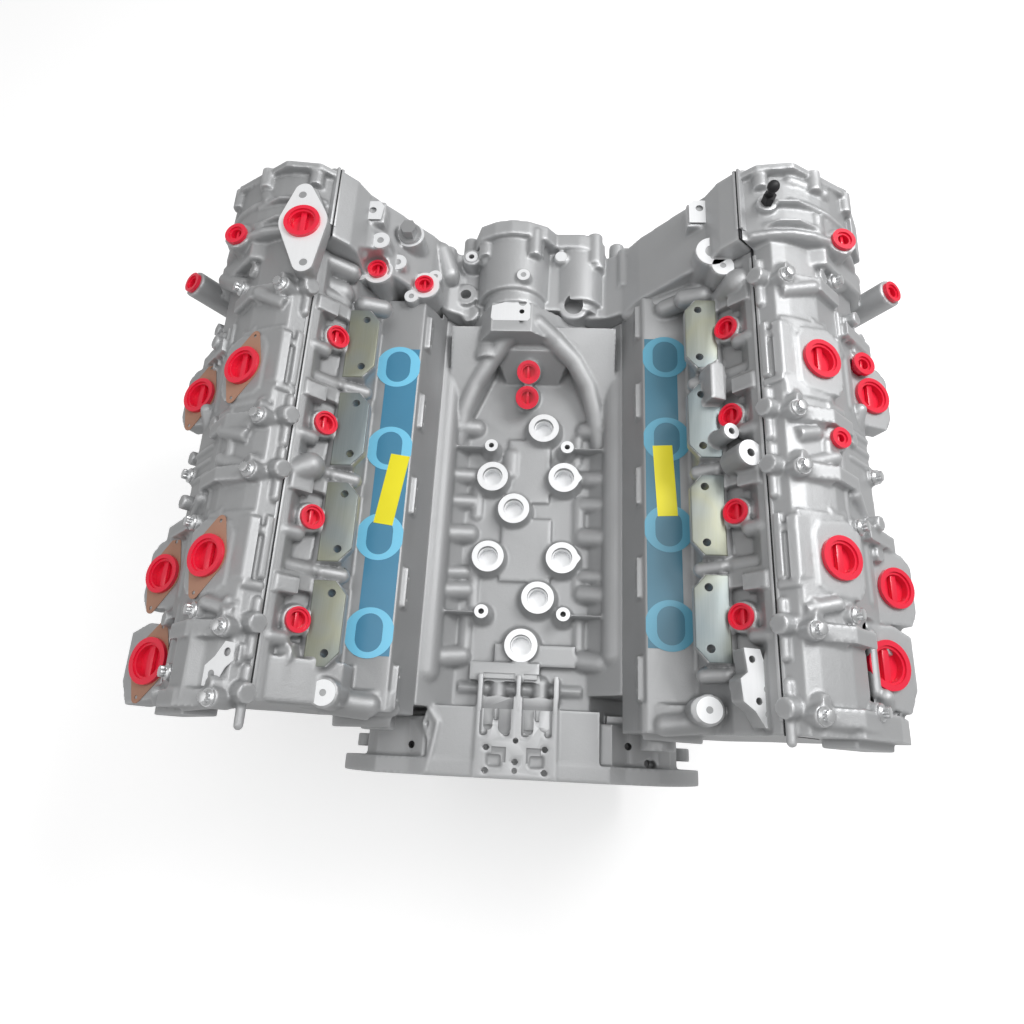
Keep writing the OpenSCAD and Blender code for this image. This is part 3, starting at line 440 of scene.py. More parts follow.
BRONZE = plain_finish("bearing_metal", (0.45, 0.42, 0.30), 0.35, 0.8)
CERAMIC = plain_finish("white_ceramic", (0.85, 0.85, 0.82), 0.2)
GUIDE = plain_finish("chain_guide_nylon", (0.05, 0.035, 0.02), 0.5)

NODE_FINISHES = {
    "cylinder_block": ALUMINIUM, "oil_pan": ALUMINIUM, "head_left": HEAD_CAST, "head_right": HEAD_CAST,
    "cam_cover_left": ALUMINIUM, "cam_cover_right": ALUMINIUM, "front_cover": ALUMINIUM,
    "main_bearing_caps": DARK_STEEL, "main_bearings": BRONZE, "main_cap_bolts": STEEL, "crank_seals": BLACK,
    "drain_plug": ZINC, "head_gasket_left": DARK_STEEL, "head_gasket_right": DARK_STEEL,
    "cover_gasket_left": BLACK, "cover_gasket_right": BLACK, "cover_bolts": ZINC,
    "timing_chain_left": DARK_STEEL, "timing_chain_right": DARK_STEEL, "chain_guides": GUIDE,
    "intake_valves": STEEL, "exhaust_valves": DARK_STEEL, "valve_springs": DARK_STEEL,
    "valve_lifters": STEEL, "spark_plugs": CERAMIC, "camshaft_in_left": STEEL, "camshaft_ex_left": STEEL,
    "camshaft_in_right": STEEL, "camshaft_ex_right": STEEL, "crankshaft": STEEL,
    "crank_sprocket": DARK_STEEL, "crank_damper": DARK_STEEL, "damper_bolt": ZINC,
    "valley_plugs": MACHINED, "small_caps": RED, "large_caps": RED, "valley_caps": RED,
    "port_gaskets": PAPER, "port_film_left": FILM_LEFT, "port_film_right": FILM_RIGHT,
    "stickers": YELLOW, "ball_stud": BLACK, "idler_bolt": WASHED_STEEL, "pipe_stubs": MACHINED,
}
for name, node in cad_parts.items():
    node.data.materials.clear()
    node.data.materials.append(NODE_FINISHES.get(name, STEEL))


# Castings

def casting(name, node, grain, passes, forms, cutters, material=ALUMINIUM):
    """Rebuilds a CAD casting with soft corners, further cast forms and crisp cuts."""
    o = join([*forms, cad_copy(node)], name)
    soften(o, grain, passes)
    for cutter in cutters:
        carve(o, cutter)
    thin_out(o)
    place(o, material, nodes=[node])


def block_forms():
    """Feet of the rings and posts, ridges, buttresses and lumps of the valley."""
    forms = [rod(V(x, y, VALLEY_FLOOR), V(x, y, 173), 26, 19.5) for x, y in RINGS]
    forms += [rod(V(x, y, VALLEY_FLOOR), V(x, y, 172), 15, 9) for x, y in POSTS]
    # horseshoe ridge that runs from the front pad down to both walls
    for s, reach in ((-1, 96), (1, 92)):
        forms += ridge([V(s * 10 - 6, 538, 222), V(s * 32 - 4, 524, 206), V(s * 54, 502, 194),
            V(s * 72, 474, 184), V(s * (reach - 10), 438, 174), V(s * (reach - 2), 396, 162)], 12)
        shelf = [(4, 540), (104, 540), (104, 384), (92, 398), (86, 438), (72, 474), (54, 502), (32, 524)]
        forms.append(plate([V(s * x, y, 214 - (540 - y) / 3) for x, y in shelf], V(0, 0, -48)))
    # soft buttresses between the valley floor and its walls
    for s in (-1, 1):
        for y, r in ((128, 12), (206, 11), (228, 8), (276, 12), (318, 9), (352, 10), (418, 12)):
            forms += ridge([V(s * 92, y, 170), V(s * 70, y + 3, 160)], r)
    for x, y, r, half in ((-62, 330, 9, 26), (-60, 214, 8, 22), (64, 300, 9, 24), (63, 226, 7, 20),
            (-22, 372, 12, 12), (60, 392, 8, 16), (-66, 160, 9, 18), (66, 158, 8, 18)):
        forms += ridge([V(x, y - half, VALLEY_FLOOR + 1), V(x, y + half, VALLEY_FLOOR + 1)], r)
    # sloping shoulders beside the rear plate, and a winding raised line
    forms += [box((-98, -45.5), (1, 74), (150, 180)), box((43.5, 90), (1, 74), (150, 180))]
    forms += ridge([V(-99, 70, 180), V(-88, 56, 180.5), V(-91, 34, 180.5), V(-97, 4, 180)], 2.6)
    forms += ridge([V(-99, 70, 180), V(-104, 54, 177), V(-97, 38, 179)], 2.2)
    for s in (-1, 1):
        forms += ridge([V(s * 24, 88, 163), V(s * 24, 102, 163)], 9)
    # webs under the bar across the rear of the valley
    forms += [rod(V(-70, 96, 160), V(70, 96, 160), 6), box((-30, 62), (124, 146), (150, 171))]
    return forms


def block_cuts():
    """Holes of the rings and posts, and the openings of the rear deck."""
    cuts = [rod(V(x, y, 150), V(x, y, 182), 12, sides=40) for x, y in RINGS]
    cuts += [rod(V(x, y, 172), V(x, y, 188), 3.3, sides=20) for x, y in POSTS]
    # open bays, finger slots, pockets and screw holes of the rear deck, and holes in its side corners
    cuts += [box((-40.5, -5), (73, 112), (172, 190)), box((5, 38.5), (73, 112), (172, 190))]
    for x0, x1, y0 in ((-38, -27, 50), (-21, -7, 46), (7, 18, 46), (24, 35, 50)):
        r = (x1 - x0) / 2
        cuts += [box((x0, x1), (y0 + r, 76), (176, 190)),
            rod(V(x0 + r, y0 + r, 176), V(x0 + r, y0 + r, 190), r, sides=24)]
    cuts += [box((-27, -11), (17, 33), (181, 190)), box((11, 27), (17, 33), (181, 190))]
    cuts += [rod(V(x, y, 166), V(x, y, 190), 3.2, sides=20)
        for x, y in ((-33, 8), (31, 8), (-33, 32), (31, 32), (-1, 9), (-1, 40))]
    cuts += [rod(V(x, y, 130), V(x, y, 215), 4.2, sides=24) for x, y in ((-118, 31), (123, 40), (145, 23))]
    return cuts


casting("block_casting", "cylinder_block", 2.0, 3, block_forms(), block_cuts(), VALLEY_CAST)


def head_forms(side):
    """Lumps, webs and bosses of a head that the plain solid lacks."""
    b = bank(side)
    forms = []
    for y in CYLINDERS[side]:
        # rounded tunnel over the service bore, ear and rectangular lug beside it
        forms += [rod(b(40, y, 373), b(68.6, y, 373), 17.5, 15.5)]
        forms += ridge([b(64, y - 19, 384), b(64, y - 19, 398)], 8)
        forms += [plate([b(60, y + 24, 378), b(73, y + 24, 378), b(73, y + 24, 403), b(60, y + 24, 403)],
            V(0, 17, 0))]
        # runner roof between the pads, and webs to the valley edge
        forms += ridge([V(side * 200, y - 53, 292), V(side * 184, y - 54, 284)], 8)
        forms += ridge([V(side * 203, y - 53, 296), V(side * 216, y - 47, 296)], 6)
        forms += ridge([b(62, y - 40, 356), b(66, y + 40, 354)], 6)
        forms += ridge([b(58, y + 53, 366), b(58, y + 53, 400)], 9)
    # knuckle that meets the timing case, then the bosses and lugs of each bank's ends
    forms += ridge([V(side * 212, 551, 304), V(side * 250, 554, 330)], 11)
    if side < 0:
        forms += ridge([V(-262, 528, 318), V(-222, 524, 300)], 15)
        forms += ridge([V(-222, 300, 318), V(-236, 292, 322)], 15)
        forms += [rod(V(-184, 73, 240), V(-184, 73, 300.5), 15)]
        forms += ridge([V(-150, 66, 250), V(-210, 70, 268)], 12)
        forms += ridge([V(-128, 64, 232), V(-176, 62, 258)], 7)
        forms += [rod(V(-150, 60, 246), V(-196, 64, 262), 9), rod(V(-132, 58, 222), V(-190, 56, 236), 12)]
        forms += [plate([V(-214, 62, 262), V(-214, 118, 262), V(-240, 118, 262), V(-240, 62, 262)],
            V(0, 0, 52))]
        forms += [rod(V(-222, 106, 280), V(-226, 106, 319), 13)]
    else:
        forms += [rod(V(186, 74, 240), V(186, 74, 290.5), 15), rod(V(132, 58, 222), V(190, 56, 236), 12)]
        forms += ridge([V(150, 60, 250), V(205, 66, 266)], 11)
        forms += ridge([V(158, 542, 254), V(205, 550, 280)], 11)
        forms += ridge([V(228, 530, 320), V(222, 528, 296)], 17)
    # web in front of the last cylinder
    y = CYLINDERS[side][-1]
    forms += ridge([V(side * 196, y + 58, 290), V(side * 176, y + 60, 280)], 11)
    return forms


def head_cuts(side):
    """Service bores and ports, cut again after the corners are softened."""
    b = bank(side)
    cuts = [rod(b(54, y, SERVICE_W), b(86, y, SERVICE_W), 11.4) for y in CYLINDERS[side]]
    return cuts + [rod(V(side * PORT_X, y - 6, 200), V(side * PORT_X, y - 6, 270), 16)
        for y in CYLINDERS[side]]


casting("head_casting_left", "head_left", 1.8, 2, head_forms(-1), head_cuts(-1), HEAD_CAST)
casting("head_casting_right", "head_right", 1.8, 2, head_forms(1), head_cuts(1), HEAD_CAST)


# outline of the two-eared flange on the left front dome, about its bore
TEARDROP = wrapped((0, 2, 27), (-4, 42, 10.5), (7, -52, 11.5))
DOME_Q, DOME_W = -8, 374  # axis of the round front ends of the covers
# fins, cross ribs, screw towers and oil drillings of the covers, in each bank's own directions:
# a tower by its top, a drilling by its upper end, lower end and radius
FIN_ENDS = {-1: (432, 474), 1: (470, 502)}
CROSS_RIBS = {-1: (292, 308, 324), 1: (330, 346, 362)}
TOWERS = {1: ((-6, 532, 464), (-4, 250, 463), (24, 160, 461), (-2, 76, 464), (-62, 320, 460)),
    -1: ((-3, 512, 463), (-10, 234, 463), (29, 140, 459), (-4, 84, 461), (-62, 300, 460))}
DRILLINGS = {1: ((34, 508, 456, 66, 497, 436, 7.5), (-48, 394, 459, -60, 352, 438, 7.5),
        (42, 339, 449, 62, 333, 440, 7), (22, 316, 456, 68, 298, 430, 8), (-10, 286, 459, -44, 268, 450, 7),
        (40, 168, 453, 66, 160, 434, 7), (-30, 92, 459, -44, 80, 450, 7.5)),
    -1: ((38, 489, 456, 66, 472, 436, 7.5), (-50, 376, 460, -60, 334, 438, 7.5),
        (21, 328, 460, 52, 318, 445, 8), (20, 297, 456, 68, 278, 430, 8), (-12, 262, 459, -44, 246, 450, 7),
        (40, 147, 453, 66, 138, 434, 7), (-30, 66, 459, -40, 58, 451, 7.5))}


def round_dome(r, angles):
    """Across and outwards places on a circle about the axis of a cover's front end."""
    return [(DOME_Q + r * math.cos(math.radians(a)), DOME_W + r * math.sin(math.radians(a))) for a in angles]


def cover_forms(side):
    """Screw towers, bars, ribs and domes that give a cover its busy look."""
    b = bank(side)
    forms = []
    for y in SCREW_ROWS[side]:
        # paired screw towers at the joint and their lying bars
        forms += [rod(b(54, y + 8, 421), b(84, y + 6, 417), 10.5, 9.5),
            rod(b(30, y - 4, 452), b(64, y - 1, 437), 8)]
        forms += ridge([b(72, y - 22, 416), b(72, y + 28, 416)], 4.5)
    for _, y, _ in OPENINGS[side][:2]:
        # steps and bars between an opening of the crown and the joint
        forms += ridge([b(71, y - 62, 424), b(58, y - 52, 442), b(60, y - 44, 440)], 4)
        forms += [plate([b(66, y - 20, 413), b(74.5, y - 20, 413), b(74.5, y - 20, 421), b(66, y - 20, 421)],
            V(0, 62, 0))]
        forms += [plate([b(62, y - 22, 427), b(74, y - 22, 427), b(72, y - 22, 436), b(58, y - 22, 442)],
            V(0, 60, 0))]
        forms += [rod(b(10, y + 47, 450), b(34, y + 45, 446), 8),
            rod(b(-6, y - 48, 452), b(24, y - 50, 450), 8)]
        forms += ridge([b(-30, y - 30, 452), b(-30, y + 30, 452), b(-10, y + 40, 454)], 6)
    # screw towers, oil drillings and fins on the crown
    for q, y, w in TOWERS[side]:
        forms.append(rod(b(q, y, w - 26), b(q, y, w), 10.5, 8.6))
    for q, y, w, q2, y2, w2, r in DRILLINGS[side]:
        forms += [rod(b(q, y, w - 1), b(q2, y2, w2), r), ball(b(q, y, w - 1), r)]
    half = 1.6  # of a fin's thickness
    y0, y1 = FIN_ENDS[side]
    for q in (-58, -44, -30, -16):
        forms.append(plate([b(q - half, y0, 446), b(q + half, y0, 446), b(q + half, y0, 460),
            b(q - half, y0, 460)], V(0, y1 - y0, 0)))
    for y in CROSS_RIBS[side]:
        forms.append(plate([b(q, y - half, w) for q, w in ((-14, 440), (-14, 458), (-62, 458), (-88, 444),
            (-88, 430))], V(0, 2 * half, 0)))
    # long ribs and low lumps over the crown of the cover
    for q, y0, y1 in ((-74, 150, 300), (-70, 330, 430), (4, 250, 330), (-24, 96, 150), (-20, 450, 540),
            (30, 292, 330)):
        w = 452 if q > -60 else 446
        forms += ridge([b(q, y0, w), b(q, y1, w)], 5.5)
    for q, y in ((-50, 140), (-52, 234), (-20, 350), (-54, 470), (14, 530), (-76, 390), (-82, 250)):
        forms += [rod(b(q, y, 430), b(q, y, 461 if q > -60 else 452), 10, 8)]
    # end dome at the front: its rear wall, rim and arc step
    wall = [(94, 410.5), *round_dome(101, range(24, 160, 12)), (-107, 410.5), (-98, 410.5), (-98, 428),
        (-92, 438), (-61, 453), (25, 453), (39, 447.5), (57, 439), (68, 431), (68, 410.5)]
    forms.append(plate([b(q, 561, w) for q, w in wall], V(0, 8, 0)))
    forms += ridge([b(q, 566, w) for q, w in round_dome(102, range(26, 158, 12))], 3.5)
    angles = range(26, 150, 12) if side < 0 else range(50, 140, 12)
    forms += ridge([b(q, 606 if side < 0 else 594 + abs(a - 95) * 0.3, w)
        for a, (q, w) in zip(angles, round_dome(102.5, angles))], 3.2)
    lumps = {-1: ((-30, 590, 0, 560), (20, 640, 40, 604), (-60, 604, -36, 574)), 1: ((30, 596, 30, 562),)}
    for q, y, q2, y2 in lumps[side]:
        forms += [rod(b(q, y, 464), b(q2, y2, 462), 8)]
    if side < 0:
        forms += ridge([b(-56, 548, 464), b(-8, 520, 456)], 10) + ridge([b(-2, 596, 466), b(30, 572, 462)], 9)
        forms.append(plate([V(TEARDROP_X + u, TEARDROP_Y + v, 354) for u, v in TEARDROP], V(0, 0, 18)))
    else:
        forms += ridge([b(-58, 560, 462), b(-10, 534, 454)], 9) + ridge([b(54, 636, 450), b(20, 628, 470)], 8)
    return forms


def dome_trim(side):
    """What is cut off the front end of a cover to give it its slanting outline."""
    b = bank(side)
    kept = [(94, 380), (94, 410), (89, 416), (73, 425), (53, 441), (30, 457), (4, 471), (-24, 480),
        (-60, 477), (-95, 461), (-108, 432), (-108, 380)]
    around = [(130, 404), (130, 510), (-140, 510), (-140, 404)]
    cutter = plate([b(q, 649, w) for q, w in around], V(0, 30, 0))
    carve(cutter, plate([b(q, 640, w) for q, w in kept], V(0, 50, 0)))
    return cutter


casting("cover_casting_left", "cam_cover_left", 1.8, 2, cover_forms(-1),
    [rod(V(TEARDROP_X, TEARDROP_Y, 357), V(TEARDROP_X, TEARDROP_Y, 380), 16.4), dome_trim(-1)], LEFT_COVER_SHADED_CAST)
casting("cover_casting_right", "cam_cover_right", 1.8, 2, cover_forms(1), [dome_trim(1)])


def case_forms():
    """Ribs, bosses, lugs and rims of the timing case."""
    forms = []
    for s in (-1, 1):
        # ribs along the top of each arm
        forms += ridge([V(s * 112, 645, 214), V(s * 160, 645, 268), V(s * 196, 645, 312)], 5)
        forms += ridge([V(s * 112, 640, 200), V(s * 112, 572, 196)], 6)
        # stiffening ribs and the camshafts' rings on the front face
        forms += ridge([V(s * 44, 652, 40), V(s * 120, 652, 108), V(s * 226, 652, 208)], 4)
        forms += ridge([V(s * 56, 652, -14), V(s * 130, 652, 6)], 4)
        forms += ridge([V(s * 26, 652, 58), V(s * 62, 652, 132)], 4)
        forms += ridge([V(s * 150, 652, 80), V(s * 96, 652, 160), V(s * 118, 652, 206)], 3.5)
        forms.append(rod(V(s * 236, 640, 236), V(s * 236, 655.5, 236), 36, 33, 64))
    # raised ring round the crank
    forms.append(rod(V(0, 640, 0), V(0, 656.5, 0), 66, 62, 64))
    # left arm: lugs, ears and the webs between them
    forms += [rod(V(-207, 560, 262), V(-207, 560, 289.6), 9), rod(V(-122, 579, 236), V(-122, 579, 261.6), 9),
        rod(V(-149, 550, 236), V(-149, 550, 261.6), 9), rod(V(-186, 566, 240), V(-186, 566, 289.6), 18.5),
        rod(V(-134, 566, 226), V(-134, 566, 261.6), 18.5)]
    for a, b, r in ((V(-222, 600, 336), V(-205, 576, 306), 9), (V(-226, 630, 340), V(-212, 600, 318), 8),
            (V(-172, 600, 262), V(-200, 632, 296), 10), (V(-112, 610, 222), V(-124, 640, 228), 14)):
        forms += ridge([a, b], r)
    forms += [box((-209, -178), (613, 643), (280, 317)), rod(V(-181, 592, 280), V(-181, 592, 310.6), 11.5),
        rod(V(-164, 581, 262), V(-164, 581, 285.6), 11)]
    # right arm: flat lug, oval boss and the rim above the head
    forms += [box((176, 208), (611, 643), (280, 317)), rod(V(201, 570, 280), V(201, 570, 325), 19),
        rod(V(212, 551, 280), V(212, 551, 325), 13)]
    forms += ridge([V(120, 560, 214), V(150, 556, 244), V(196, 552, 280)], 9)
    # pump hump: collar, oil boss and the lumps beside it
    forms += [rod(V(-28, 578, 199), V(-28, 664, 199), 46, 47.5, 64),
        rod(V(56, 576, 190), V(56, 668, 190), 34, 35, 64)]
    rim = [(-84, 170), (-82, 214), (-72, 240), (-52, 250), (-31, 254), (-10, 251), (14, 241), (26, 227),
        (56, 228), (76, 223), (90, 206), (90, 168), (60, 150), (-60, 150)]
    forms.append(plate([V(x, 652, z) for x, z in rim], V(0, 21, 0)))
    for x, z in ((-64, 228), (0, 231), (76, 216), (106, 196), (-88, 204)):
        forms.append(rod(V(x, 632, z), V(x, 677, z), 10))
    forms += [rod(V(-84, 636, 190), V(-84, 636, 226.6), 12), rod(V(-90, 590, 180), V(-90, 590, 211), 15),
        rod(V(-80, 566, 186), V(-84, 566, 205), 12), rod(V(50, 572, 180), V(50, 572, 214.6), 19),
        rod(V(-14, 592, 230), V(-14, 592, 249.6), 10.5, 8), rod(V(32, 640, 190), V(32, 640, 224), 9)]
    forms += ridge([V(-96, 650, 196), V(-96, 612, 192)], 8)
    return forms


def case_cuts():
    """Bores of the pump hump and of the bosses on the left arm."""
    return [rod(V(-28, 655, 199), V(-28, 690, 199), 32, sides=48),
        rod(V(50, 572, 206), V(50, 572, 222), 12, sides=40),
        rod(V(-90, 590, 196), V(-90, 590, 214), 7, sides=24),
        rod(V(-84, 636, 214), V(-84, 636, 230), 3.6, sides=20),
        rod(V(-186, 566, 276), V(-186, 566, 300), 10),
        rod(V(-134, 566, 248), V(-134, 566, 270), 10)]


casting("timing_case_casting", "front_cover", 1.9, 3, case_forms(), case_cuts())


def valley_ribs():
    """Thin raised ribs of the valley floor and rear deck, too fine for the softened casting."""
    ribs = [box((x, x + 4.5), (70, 110), (168, 183)) for x in (-45, -2.5, 39)]
    ribs.append(box((-57, 20), (106, 123), (158, 176.5)))
    for rib in ribs:
        round_edges(rib, 0.8)
    z = VALLEY_FLOOR + 1.4
    for y in (250, 355):
        ribs += [rod(V(-27, y, z), V(27, y, z), 1.6, sides=12),
            rod(V(-2, y - 18, z), V(-2, y + 18, z), 1.6, sides=12)]
    place(assemble(ribs, "valley_ribs"), VALLEY_CAST)


valley_ribs()


# Machined faces

def machined_faces():
    """The bright milled rings, pads and flanges of all castings."""
    up = upright(0, 0)
    faces = [washer(up, x, y, 178, 19, 12.3, 0.4) for x, y in RINGS]
    faces += [flange(up, wrapped((x, y, 18), (x + 19, y, 3)), 177.9, [(x, y, 12.3)], 0.4)
        for x, y in ((44, 249), (44, 351))]
    faces += [washer(up, x, y, 186, 8, 3.3, 0.4) for x, y in POSTS]
    # notched pad in front of the valley
    faces.append(flange(up, [(-50, 535), (-7, 535), (-4, 539), (-4, 556), (-8, 566), (-15, 574), (-36, 574),
        (-37, 561), (-52, 556), (-53, 539)], 236, [(-14, 561, 5), (-14.5, 548, 3.2)], 0.4))
    faces += [washer(up, -14, 592, 250, 8, 3.6), washer(up, -84, 636, 227, 8, 3.6),
        washer(up, 32, 640, 224, 7.5, 0)]
    # rings of the arms and rear bosses, of slightly different thickness because some of them overlap
    for x, y, z, r, hole in ((-186, 566, 290, 18, 10.2), (-207, 560, 290, 8.5, 3.4),
            (-134, 566, 262, 18, 10.2), (-122, 579, 262, 8.5, 3.4), (-149, 550, 262, 8.5, 3.4),
            (-181, 592, 311, 11, 4), (-164, 581, 286, 10.5, 4), (-153, 622, 284, 17, 9),
            (201, 570, 325.4, 18, 8), (212, 551, 325.4, 12, 3.4), (-184, 73, 301, 12.5, 3.4),
            (186, 74, 291, 12.5, 3.4)):
        faces.append(washer(up, x, y, z, r, hole, 0.3 + 0.02 * (r % 3)))
    # lug of each arm
    faces.append(flange(up, [(178, 614), (206, 614), (206, 640), (200, 645), (184, 645), (178, 640)], 319.5,
        [(190, 634, 4.4)], 0.4))
    faces.append(flange(upright(-192, 628), [(-11, -13), (11, -13), (13, 6), (8, 13), (-8, 13), (-13, 6)],
        319.5, [(0, 0, 4.4)], 0.3))
    # right rear plate with four holes, and the lug with a round eye
    faces.append(flange(leaning(1, 219, 94, 318), [(-13, 34), (4, 34), (10, 14), (20, -2), (20, -34),
        (6, -36), (-4, -22), (-16, -14), (-18, 6), (-10, 12)], 10,
        [(-5, 24, 3.4), (9, -2, 3.4), (0, -13, 3.4), (9, -24, 3.4)]))
    faces.append(washer(leaning(1, 206, 348.6, 312), 0, 0, 15, 8.6, 3.6))
    faces.append(washer(leaning(1, 220, 320, 322), 0, 0, 17, 13.6, 4.4))
    # left rear lug with two holes
    faces.append(flange(leaning(-1, 264, 95, 348), [(-16, 14), (-4, 16), (6, 2), (16, -6), (16, -24),
        (2, -26), (-8, -8), (-16, -2)], 7, [(-8, 6, 4), (7, -14, 4)]))
    # teardrop flange of the left front
    faces.append(flange(upright(TEARDROP_X, TEARDROP_Y), TEARDROP, 372,
        [(0, 0, 16.5), (-5, 37, 4.5), (8, -52, 4.5)], 0.4))
    place(assemble(faces, "machined_faces", 30), MACHINED)


machined_faces()


def intake_pads():
    """Crisp milled pads with rounded edges, two holes and a sloping outer band."""
    pads = []
    half = 43.2  # of a pad's length
    for s in (-1, 1):
        for y in CYLINDERS[s]:
            at = leaning(s, 0, y, 0, 0)
            outline = [(206, -half), (206, half), (185, half), (172.4, 29), (172.4, -29), (185, -half)]
            pad = plate([at(u, v, 296) for u, v in outline], V(0, 0, 7.4))
            band = ((204, 303.4), (206.5, 303.4), (215, 290), (204, 290))
            slope = plate([at(u, -half, n) for u, n in band], V(0, 2 * half, 0))
            round_edges(pad, 1.1, 3)
            round_edges(slope, 1.1, 3)
            for v in (-30, 30):
                carve(pad, rod(at(187, v, 290), at(187, v, 310), 4.2, sides=28))
            pads += [pad, slope]
    place(assemble(pads, "intake_pads"), PAD)


intake_pads()


def joint_flanges():
    """Crisp lips of the head and cover on both sides of their joint."""
    lips = []
    for s in (-1, 1):
        b = bank(s)
        # the long run beside the valley and the short one past the timing case, each below and above the gasket
        for q0, q1, y0, y1 in ((60, 71.3, 64, 552), (84, 95.4, 574, 654)):
            for w0, w1 in ((405.6, 409), (410.5, 413.6)):
                lip = plate([b(q0, y0, w0), b(q1, y0, w0), b(q1, y0, w1), b(q0, y0, w1)], V(0, y1 - y0, 0))
                round_edges(lip, 0.7)
                lips.append(lip)
    place(assemble(lips, "joint_flanges"), HEAD_CAST)


joint_flanges()


def paper_gaskets():
    """Diamond gaskets under the capped openings of the left bank."""
    papers = []
    sizes = (18, 23), (18, 23), (18, 22.5), (18, 22.5), (20, 25)
    for opening, (hole, wide) in zip(OPENINGS[-1], sizes):
        papers.append(flange(leaning(-1, *opening), wrapped((0, 0, wide), (-9, 35, 6), (9, -36, 6)), 0.2,
            [(0, 0, hole), (-9, 35, 2), (9, -36, 2)], 0.6))
    place(assemble(papers, "port_gaskets_left", 30), PAPER, nodes=["port_gaskets"])


paper_gaskets()


# Caps, film and fasteners

def cap_seats():
    """Directions, height and radius of the recess of each push-in cap."""
    seats = []
    for s in (-1, 1):
        lift = 1 if s < 0 else 0.2  # the left bank's caps stand on paper gaskets
        radii = 14.6, 14.6, 14.6, 14.6, 16.6
        seats += [(leaning(s, *opening), lift, r) for opening, r in zip(OPENINGS[s], radii)]
        # boss behind the front dome, and the stout neck outside it
        seats.append((leaning(s, 330, 568, 318, 10), 29.2, 6.6))
        seats.append((leaning(s, 398, 548, 262, 30), 25.2, 6.6))
        b = bank(s)
        for y in CYLINDERS[s]:
            seats.append(((lambda u, v, n, b=b, y=y: b(69.2 + n, y + v, SERVICE_W + u)), 0, 8.6))
    seats += [(upright(TEARDROP_X, TEARDROP_Y, 372.2), 0, 13.6), (upright(-186, 566, 290.2), 0, 7),
        (upright(-134, 566, 262.2), 0, 7), (leaning(1, 310, 337, 330), 9.2, 4.8),
        (leaning(1, 366, 452, 280), 6.2, 6.6)]
    # the two caps on the slope in front of the valley
    tilt = math.radians(28)
    cos, sin = math.cos(tilt), math.sin(tilt)
    for y, z in ((453, 190), (481, 204.5)):
        seats.append(((lambda u, v, n, y=y, z=z: V(-4.5 + u, y + v * cos - n * sin, z + v * sin + n * cos)),
            0, 8))
    return seats


def cap_bars():
    """Grip bars across the recess of each push-in cap."""
    bars = []
    for at, n, r in cap_seats():
        half = r * 0.24
        foot = n - 4.8
        bar = plate([at(-half, -r, foot), at(half, -r, foot), at(half, r, foot), at(-half, r, foot)],
            at(0, 0, 4.2) - at(0, 0, 0))
        round_edges(bar, 0.8)
        bars.append(bar)
    place(assemble(bars, "cap_grip_bars", 40), RED)


cap_bars()


def film_lobes(side):
    """Second layer of the film round each port, with an oval opening."""
    lobes = []
    x = side * PORT_X
    low, high = 251.58, 251.85
    for y in CYLINDERS[side]:
        disc = rod(V(x, y, low), V(x, y, high), 27, sides=64)
        carve(disc, plate([V(u, v, 250) for u, v in wrapped((x, y - 6, 14.5), (x, y + 6, 14.5))], V(0, 0, 3)))
        inner, outer = sorted((side * 132, side * 184))
        carve(disc, box((inner, outer), (y - 40, y + 40), (250, 253)), "INTERSECT")
        lobes.append(disc)
    name, finish = ("film_lobes_left", FILM_LOBE_LEFT) if side < 0 else ("film_lobes_right", FILM_LOBE_RIGHT)
    place(join(lobes, name), finish)


film_lobes(-1)
film_lobes(1)


def star_bolt(at, u, v, n):
    """Flanged bolt with a twelve-lobed head."""
    skirt = rod(at(u, v, n), at(u, v, n + 1.4), 8.4, 8.0)
    dome = rod(at(u, v, n + 1.3), at(u, v, n + 3), 7.6, 5.6)
    points = [(5.6 if k % 2 else 4.5, math.radians(15 * k)) for k in range(24)]
    head = plate([at(u + r * math.cos(a), v + r * math.sin(a), n + 2) for r, a in points],
        at(0, 0, 6) - at(0, 0, 0))
    round_edges(head, 0.4)
    return [skirt, dome, head]


def cover_bolts():
    """Bolts on the outer seats of the covers and on the screw towers of their crowns."""
    parts = []
    for s in (-1, 1):
        for y in SCREW_ROWS[s]:
            parts += star_bolt(leaning(s, 262, y, 352), 0, 0, 13)
        b = bank(s)
        for q, y, w in TOWERS[s]:
            parts += star_bolt(lambda u, v, n, b=b, q=q, y=y: b(q + u, y + v, n), 0, 0, w)
    place(assemble(parts, "cover_star_bolts"), ZINC, nodes=["cover_bolts"])


cover_bolts()


# Studio

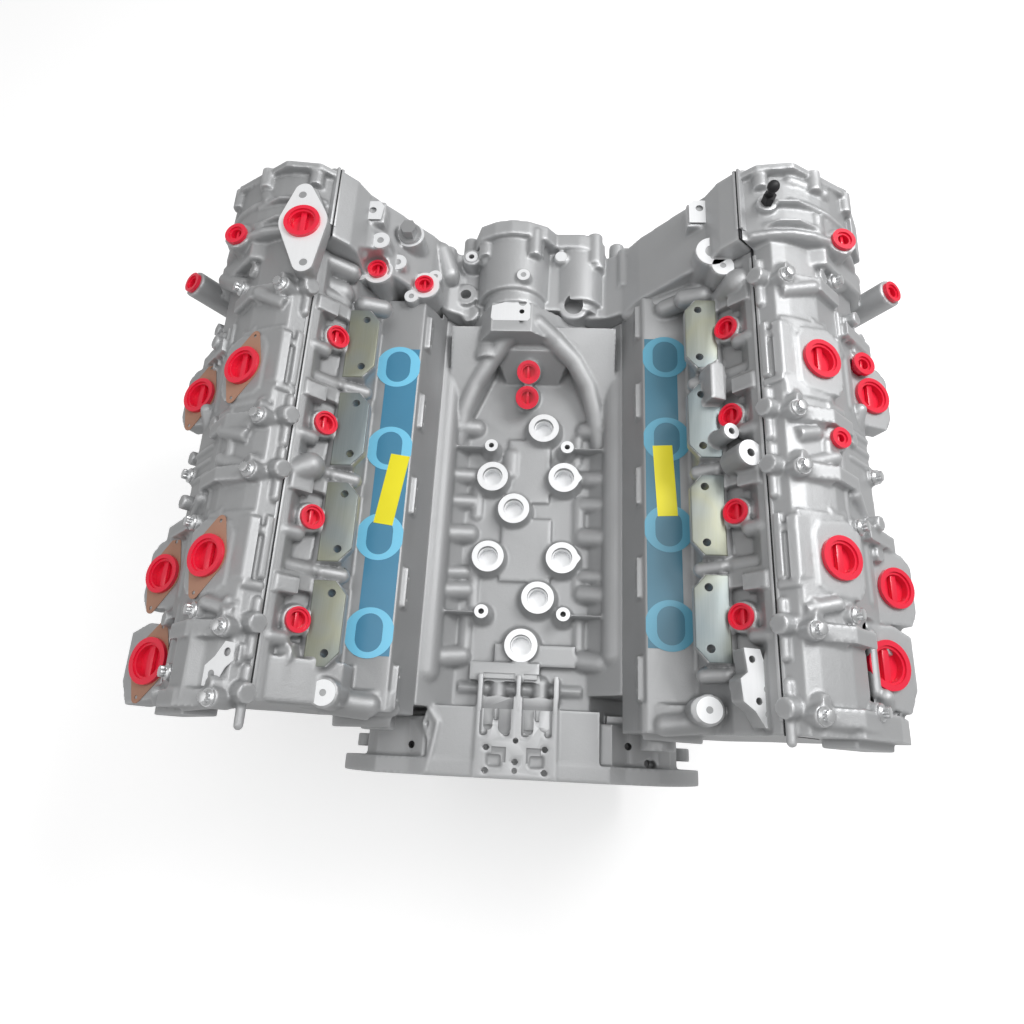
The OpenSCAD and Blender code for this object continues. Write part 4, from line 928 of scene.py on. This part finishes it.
WORLD_LIGHT = 0.42  # strength of the world on the engine; the camera sees it as 1, which is white
FLOOR_GLOW = (0.42, 0.42, 0.42, 1)  # what the camera alone sees on top of the lit floor
MIDDLE = Vector((0, 0.3, 0.2))
CAMERA_PLACE = (0.03244, 0.02289, 1.00945)
CAMERA_TURN = Matrix(((0.99789, -0.03104, 0.05709), (0.04773, 0.94626, -0.31985),
    (-0.04410, 0.32190, 0.94575)))
LENS, SENSOR = 25.49, 36
LAMPS = (("key", (1.1, 1.0, 1.7), 0.8, 20), ("fill", (-1.3, -0.1, 1.5), 1.2, 4),
    ("top", (0.1, 0.4, 2.0), 1.2, 9))


def pale_floor():
    """A wide matt floor just under the sump, which looks white to the camera."""
    bpy.ops.object.select_all(action="DESELECT")
    bpy.ops.mesh.primitive_plane_add(size=12, location=(0, 0.3, cad_box[0].z - 0.0005))
    floor = bpy.context.object
    floor.name = "floor"
    f = Finish("pale_floor", Roughness=0.9)
    f.set("Base Color", (0.88, 0.88, 0.88, 1))
    seen = f.node("ShaderNodeLightPath", {}, {}, "Is Camera Ray")
    f.set("Emission Color", f.mix(seen, (0, 0, 0, 1), FLOOR_GLOW))
    f.set("Emission Strength", 1.0)
    floor.data.materials.append(f.material)


def soft_world():
    """Even light from all around, with a white background for the camera."""
    world = bpy.data.worlds.new("studio")
    bpy.context.scene.world = world
    world.use_nodes = True
    nodes, links = world.node_tree.nodes, world.node_tree.links
    nodes["Background"].inputs[0].default_value = (1, 1, 1, 1)
    path = nodes.new("ShaderNodeLightPath")
    level = nodes.new("ShaderNodeMapRange")
    level.inputs["To Min"].default_value, level.inputs["To Max"].default_value = WORLD_LIGHT, 1
    links.new(path.outputs["Is Camera Ray"], level.inputs["Value"])
    links.new(level.outputs[0], nodes["Background"].inputs[1])


def lamps():
    """Three large soft lamps that look at the middle of the engine."""
    for name, at, size, power in LAMPS:
        bpy.ops.object.light_add(type="AREA", location=at)
        lamp = bpy.context.object
        lamp.name = name
        lamp.data.size, lamp.data.energy = size, power
        aim = MIDDLE - lamp.location
        lamp.rotation_euler = aim.to_track_quat("-Z", "Y").to_euler()


def camera():
    """The photograph's camera, solved from the places of the eight ports."""
    bpy.ops.object.camera_add(location=CAMERA_PLACE)
    eye = bpy.context.object
    eye.rotation_euler = CAMERA_TURN.to_euler()
    eye.data.lens, eye.data.sensor_width = LENS, SENSOR
    bpy.context.scene.camera = eye
    bpy.context.scene.view_settings.view_transform = "Standard"


pale_floor()
soft_world()
lamps()
camera()
